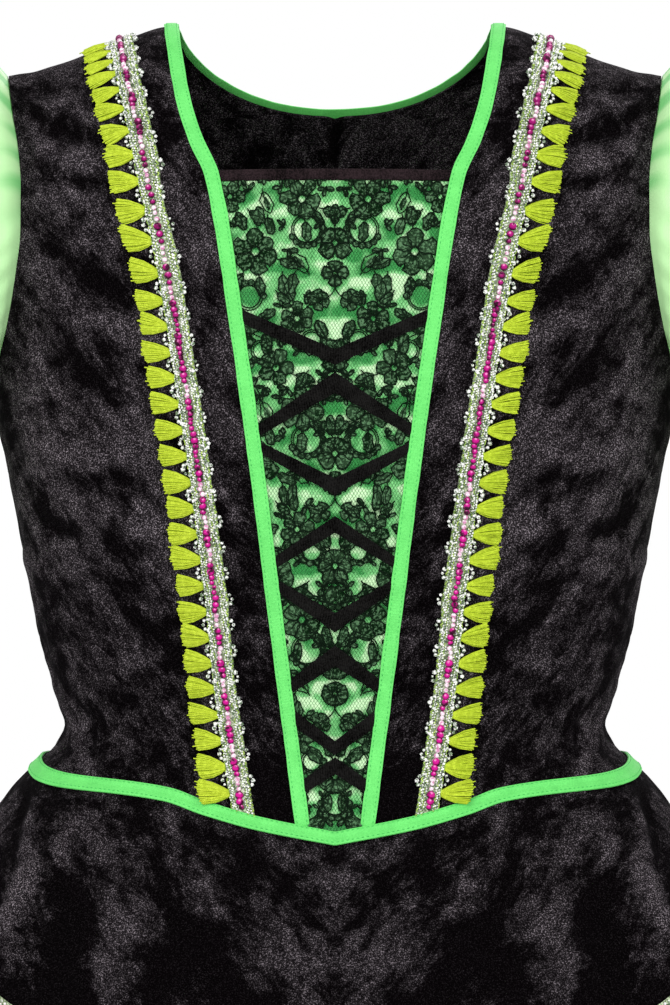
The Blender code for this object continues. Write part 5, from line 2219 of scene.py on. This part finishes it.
@dataclass(frozen=True)
class HemBraid:
    """The beaded braid that edges the peplum's hem."""

    peplum: Peplum
    width: float = 11.0
    band_lift: float = 1.1
    under_lift: float = 0.4
    bead_lift: float = 1.45
    steps: int = 621

    def make(self) -> dict[Half, list[Piece]]:
        """Makes the band and the beads of the front and the back.

        Returns:
            The pieces on each half of the peplum.
        """
        made = {}
        for half in Half:
            node = f"peplum_braid_{half.word}"
            turn = half.turns(self.steps)
            v = np.linspace(0, 1, 9)[:, None]
            length = self.peplum.cut.waist(turn) - self.peplum.hem_height(turn)
            fall = 1 - self.width / length[None, :] * v * 0.92
            grid, _ = self.peplum.surface(*np.broadcast_arrays(turn[None, :], fall))
            normal = facing_out(grid)
            outer, inner = ((grid + normal * lift)[:, ::4] for lift in (self.band_lift, self.under_lift))
            made[half] = [shell(f"{node}_band", outer, inner, SILVER_THREAD, node)]
            for word, finish, unevenness, seed, rows in (
                ("beads", SILVER, 0.2, 6, ((1, 2, 1.3), (6, 2, 1.2), (7, 2, 1.3))),
                ("jewels", MAGENTA, 0.12, 7, ((4, 3, 2.3),)),
            ):
                points = [(grid[row] + normal[row] * self.bead_lift)[::step] for row, step, _ in rows]
                sizes = np.concatenate([np.full(len(line), row[2]) for line, row in zip(points, rows)])
                values = {"Unevenness": unevenness, "Rounds": 1, "Seed": seed}
                made[half].append(grow(f"{node}_{word}", Growth.BEADS, points, finish, values, sizes=sizes))
        return made


@dataclass(frozen=True)
class Sleeves:
    """The satin puff sleeves, gathered at the armhole and at the cuff."""

    cut: Cut
    tilt: float = math.radians(22)
    cuff_middle: tuple[float, float, float] = (192.0, 0.0, -199.0)
    cuff_radius: float = 40.0
    cuff_height: float = 11.0
    cuff_depth: float = 0.8
    cuff_bulge: float = 0.6
    off: float = 0.6
    puff: float = 62.0
    leave_outward: float = 0.62
    leave_spoke: float = 0.78
    cuff_puff: float = 58.0
    arrive_outside: float = 0.75
    arrive_above: float = 0.66
    under: float = 0.3
    gathers: int = 30
    thickness: float = 0.8
    around: int = 180
    rows: int = 42
    roll: float = 3.0
    # A painted highlight over the swell of the puff.
    bloom: float = 0.3

    def armhole(self, side: Side) -> Array:
        """Finds even points round an armhole, from the shoulder seam down the front and up the back.

        Args:
            side: The dress's own side.

        Returns:
            An array of points.
        """
        cut = self.cut
        rows = np.linspace(cut.armpit_row(), 2.0, 90)
        halves = []
        for back, order in ((False, rows[::-1]), (True, rows)):
            turn = np.where(order <= cut.armpit_row(), QUARTER, cut.turn_of_edge(cut.armhole, order, back))
            halves.append(cut.figure.point(side.value * turn, cut.row_level(order, side.value * turn)))
        edge = np.concatenate((*halves, halves[0][:1]))
        length = np.concatenate(((0,), np.cumsum(np.linalg.norm(np.diff(edge, axis=0), axis=-1))))
        even = np.linspace(0, length[-1], self.around, endpoint=False)
        return np.stack([np.interp(even, length, edge[:, i]) for i in range(3)], -1)

    def make_sleeve(self, side: Side) -> None:
        """Makes one sleeve and its cuff band.

        Args:
            side: The dress's own side.
        """
        sideways = np.array((side.value, 0, 0))
        edge = self.armhole(side)
        middle = edge.mean(0)
        angle = 2 * math.pi * np.arange(self.around) / self.around
        down = np.array((side.value * math.sin(self.tilt), 0, -math.cos(self.tilt)))
        outward = np.array((side.value * math.cos(self.tilt), 0, math.sin(self.tilt)))
        cuff = np.array(self.cuff_middle) * (side.value, 1, 1)
        radial = outward * np.cos(angle)[:, None] + np.array((0, -1, 0)) * np.sin(angle)[:, None]
        spoke = unit((edge - middle) * np.array((0, 1, 1)))
        under = (self.under + (1 - self.under) * (1 + np.cos(angle)) / 2)[:, None]
        start = edge + sideways * self.off
        end = cuff + radial * self.cuff_radius
        swing = sideways * self.leave_outward + spoke * self.leave_spoke * under
        leave = start + swing * self.puff * under
        swing = radial * self.arrive_outside * under - down * self.arrive_above
        arrive = end + swing * self.cuff_puff * under
        share = np.linspace(0, 1, self.rows)[:, None, None]
        rest = 1 - share
        grid = rest**3 * start + share**3 * end + 3 * rest * share * (rest * leave + share * arrive)
        swell = np.sin(math.pi * share[..., 0]) ** 0.7
        uneven = self.gathers * angle + 1.3 * np.sin(3 * angle + 0.7) + 0.8 * np.sin(7 * angle)
        slow = 0.7 + 0.3 * np.sin(5 * angle + 1.0)
        near_cap = np.exp(-share[..., 0] / 0.16)
        near_cuff = np.exp(-rest[..., 0] / 0.14)
        ridge = np.cos(uneven)[None, :] * slow[None, :]
        soft = np.cos(uneven / 2 + 0.6)[None, :] * swell
        wave = swell * (ridge * (0.5 + 1.5 * near_cap + 1.4 * near_cuff) + 0.9 * soft)
        grid = grid + unit(spoke * rest + radial * share) * wave[..., None]
        rolled = np.exp(-(((share[..., 0] - 0.1) / 0.08) ** 2)) * np.maximum(np.sin(angle), 0)[None, :]
        grid[..., 0] -= side.value * self.roll * rolled
        centres = middle + (cuff - middle) * share[:, 0]
        inner = grid - facing_out(grid, True, centres) * self.thickness
        # Painted light and shade: painted shade in the gathers at the cap's outer side and at the cuff, with
        # lighter ridges, painted light and shade along the soft folds, strongest outside, a painted sheen in
        # slow random patches, and a painted highlight over the swell.
        cap = near_cap * smooth(np.cos(angle), 0.0, 0.9)[None, :]
        cloudy = 0.16 * ripples(grid, 24.0, 41)
        tuck_shade = (1.2 * ridge - 0.5) * (cap + np.exp(-rest[..., 0] / 0.1))
        lines = (wave / 5 - 0.15) * (0.2 + 0.8 * smooth(np.cos(angle), 0.0, 0.7))
        painted_light = np.clip(lines + tuck_shade + cloudy + self.bloom * swell, -1, 1)
        word = side.word
        piece = shell(f"puff_sleeve_{word}", grid, inner, SATIN, f"sleeve_{word}", around=True, painted_light=painted_light)
        bulge = self.cuff_bulge * (1 - np.abs(np.linspace(-1, 1, 9)) ** 4)[:, None, None]
        band = end + down * np.linspace(SEAM, SEAM + self.cuff_height, 9)[:, None, None]
        inner = band - radial * self.cuff_depth
        piece = shell(f"cuff_band_{word}", band + radial * bulge, inner, SATIN, f"cuff_{word}", around=True)

    def make(self) -> None:
        """Makes both sleeves."""
        for side in Side:
            self.make_sleeve(side)


@dataclass(frozen=True)
class Lamp:
    """One soft square light, in metres and watts."""

    name: str
    power: float
    place: tuple[float, float, float]
    size: float


@dataclass(frozen=True)
class Stage:
    """The pale floor, the soft light and the camera at the photograph's place, in metres."""

    distance: float = 3.0
    middle: float = -0.1997
    frame_height: float = 0.4221
    sensor: float = 36.0
    floor: float = -1.12
    floor_reach: float = 6.0
    aim: tuple[float, float, float] = (0, 0, -0.25)
    lamps: tuple[Lamp, ...] = (
        Lamp("key", 38.0, (-1.3, -2.6, 1.3), 1.6),
        Lamp("fill", 22.0, (1.9, -2.4, 0.4), 2.2),
        Lamp("rim", 18.0, (0.6, 2.4, 1.4), 1.8),
    )

    def make_camera(self) -> None:
        """Makes the camera."""
        data = bpy.data.cameras.new("camera")
        data.sensor_width = self.sensor
        data.lens = self.sensor * self.distance / self.frame_height
        camera = link("camera", data)
        camera.location = (0, -self.distance, self.middle)
        camera.rotation_euler = (QUARTER, 0, 0)
        bpy.context.scene.camera = camera

    def make_floor(self) -> None:
        """Makes the floor."""
        mesh = bpy.data.meshes.new("floor")
        far = self.floor_reach
        corners = [(x, y, self.floor) for x, y in ((-far, -far), (far, -far), (far, far), (-far, far))]
        mesh.from_pydata(corners, [], [(0, 1, 2, 3)])
        material = bpy.data.materials.new("Pale floor")
        material.use_nodes = True
        pale = {"Base Color": (0.85, 0.85, 0.85, 1), "Roughness": 0.8}
        Graph(material.node_tree).fit(material.node_tree.nodes["Principled BSDF"], pale)
        mesh.materials.append(material)
        link("floor", mesh)

    def make_lights(self) -> None:
        """Makes the soft lights and the white surroundings."""
        for lamp in self.lamps:
            data = bpy.data.lights.new(lamp.name, "AREA")
            data.energy = lamp.power
            data.size = lamp.size
            light = link(lamp.name, data)
            light.location = lamp.place
            aim = Vector(self.aim) - Vector(lamp.place)
            light.rotation_euler = aim.to_track_quat("-Z", "Y").to_euler()
        world = bpy.data.worlds.new("white room")
        world.use_nodes = True
        graph = Graph(world.node_tree)
        strength = graph.remap(graph.get("ShaderNodeLightPath", None, "Is Camera Ray"), 0, 1, (0.85, 1.0))
        graph.fit(world.node_tree.nodes["Background"], {"Color": (1, 1, 1, 1), "Strength": strength})
        bpy.context.scene.world = world
        bpy.context.scene.view_settings.view_transform = "Standard"

    def make(self) -> None:
        """Makes the whole stage."""
        self.make_camera()
        self.make_floor()
        self.make_lights()


def main() -> None:
    """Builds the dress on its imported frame."""
    logging.basicConfig(level=logging.INFO, format="%(name)s: %(message)s")
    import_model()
    cut = Cut()
    peplum = Peplum(cut)
    Bodice(cut).make()
    Skirt(cut).make(["velvet_front_left", "velvet_back_left"], {})
    peplum.make(["skirt_front_cloth", "skirt_back_cloth"], HemBraid(peplum).make())
    Stomacher(cut).make()
    Lacing(cut).make()
    Tapes(cut, peplum).make()
    Braid(cut).make()
    Sleeves(cut).make()
    Stage().make()


if __name__ == "__main__":
    main()
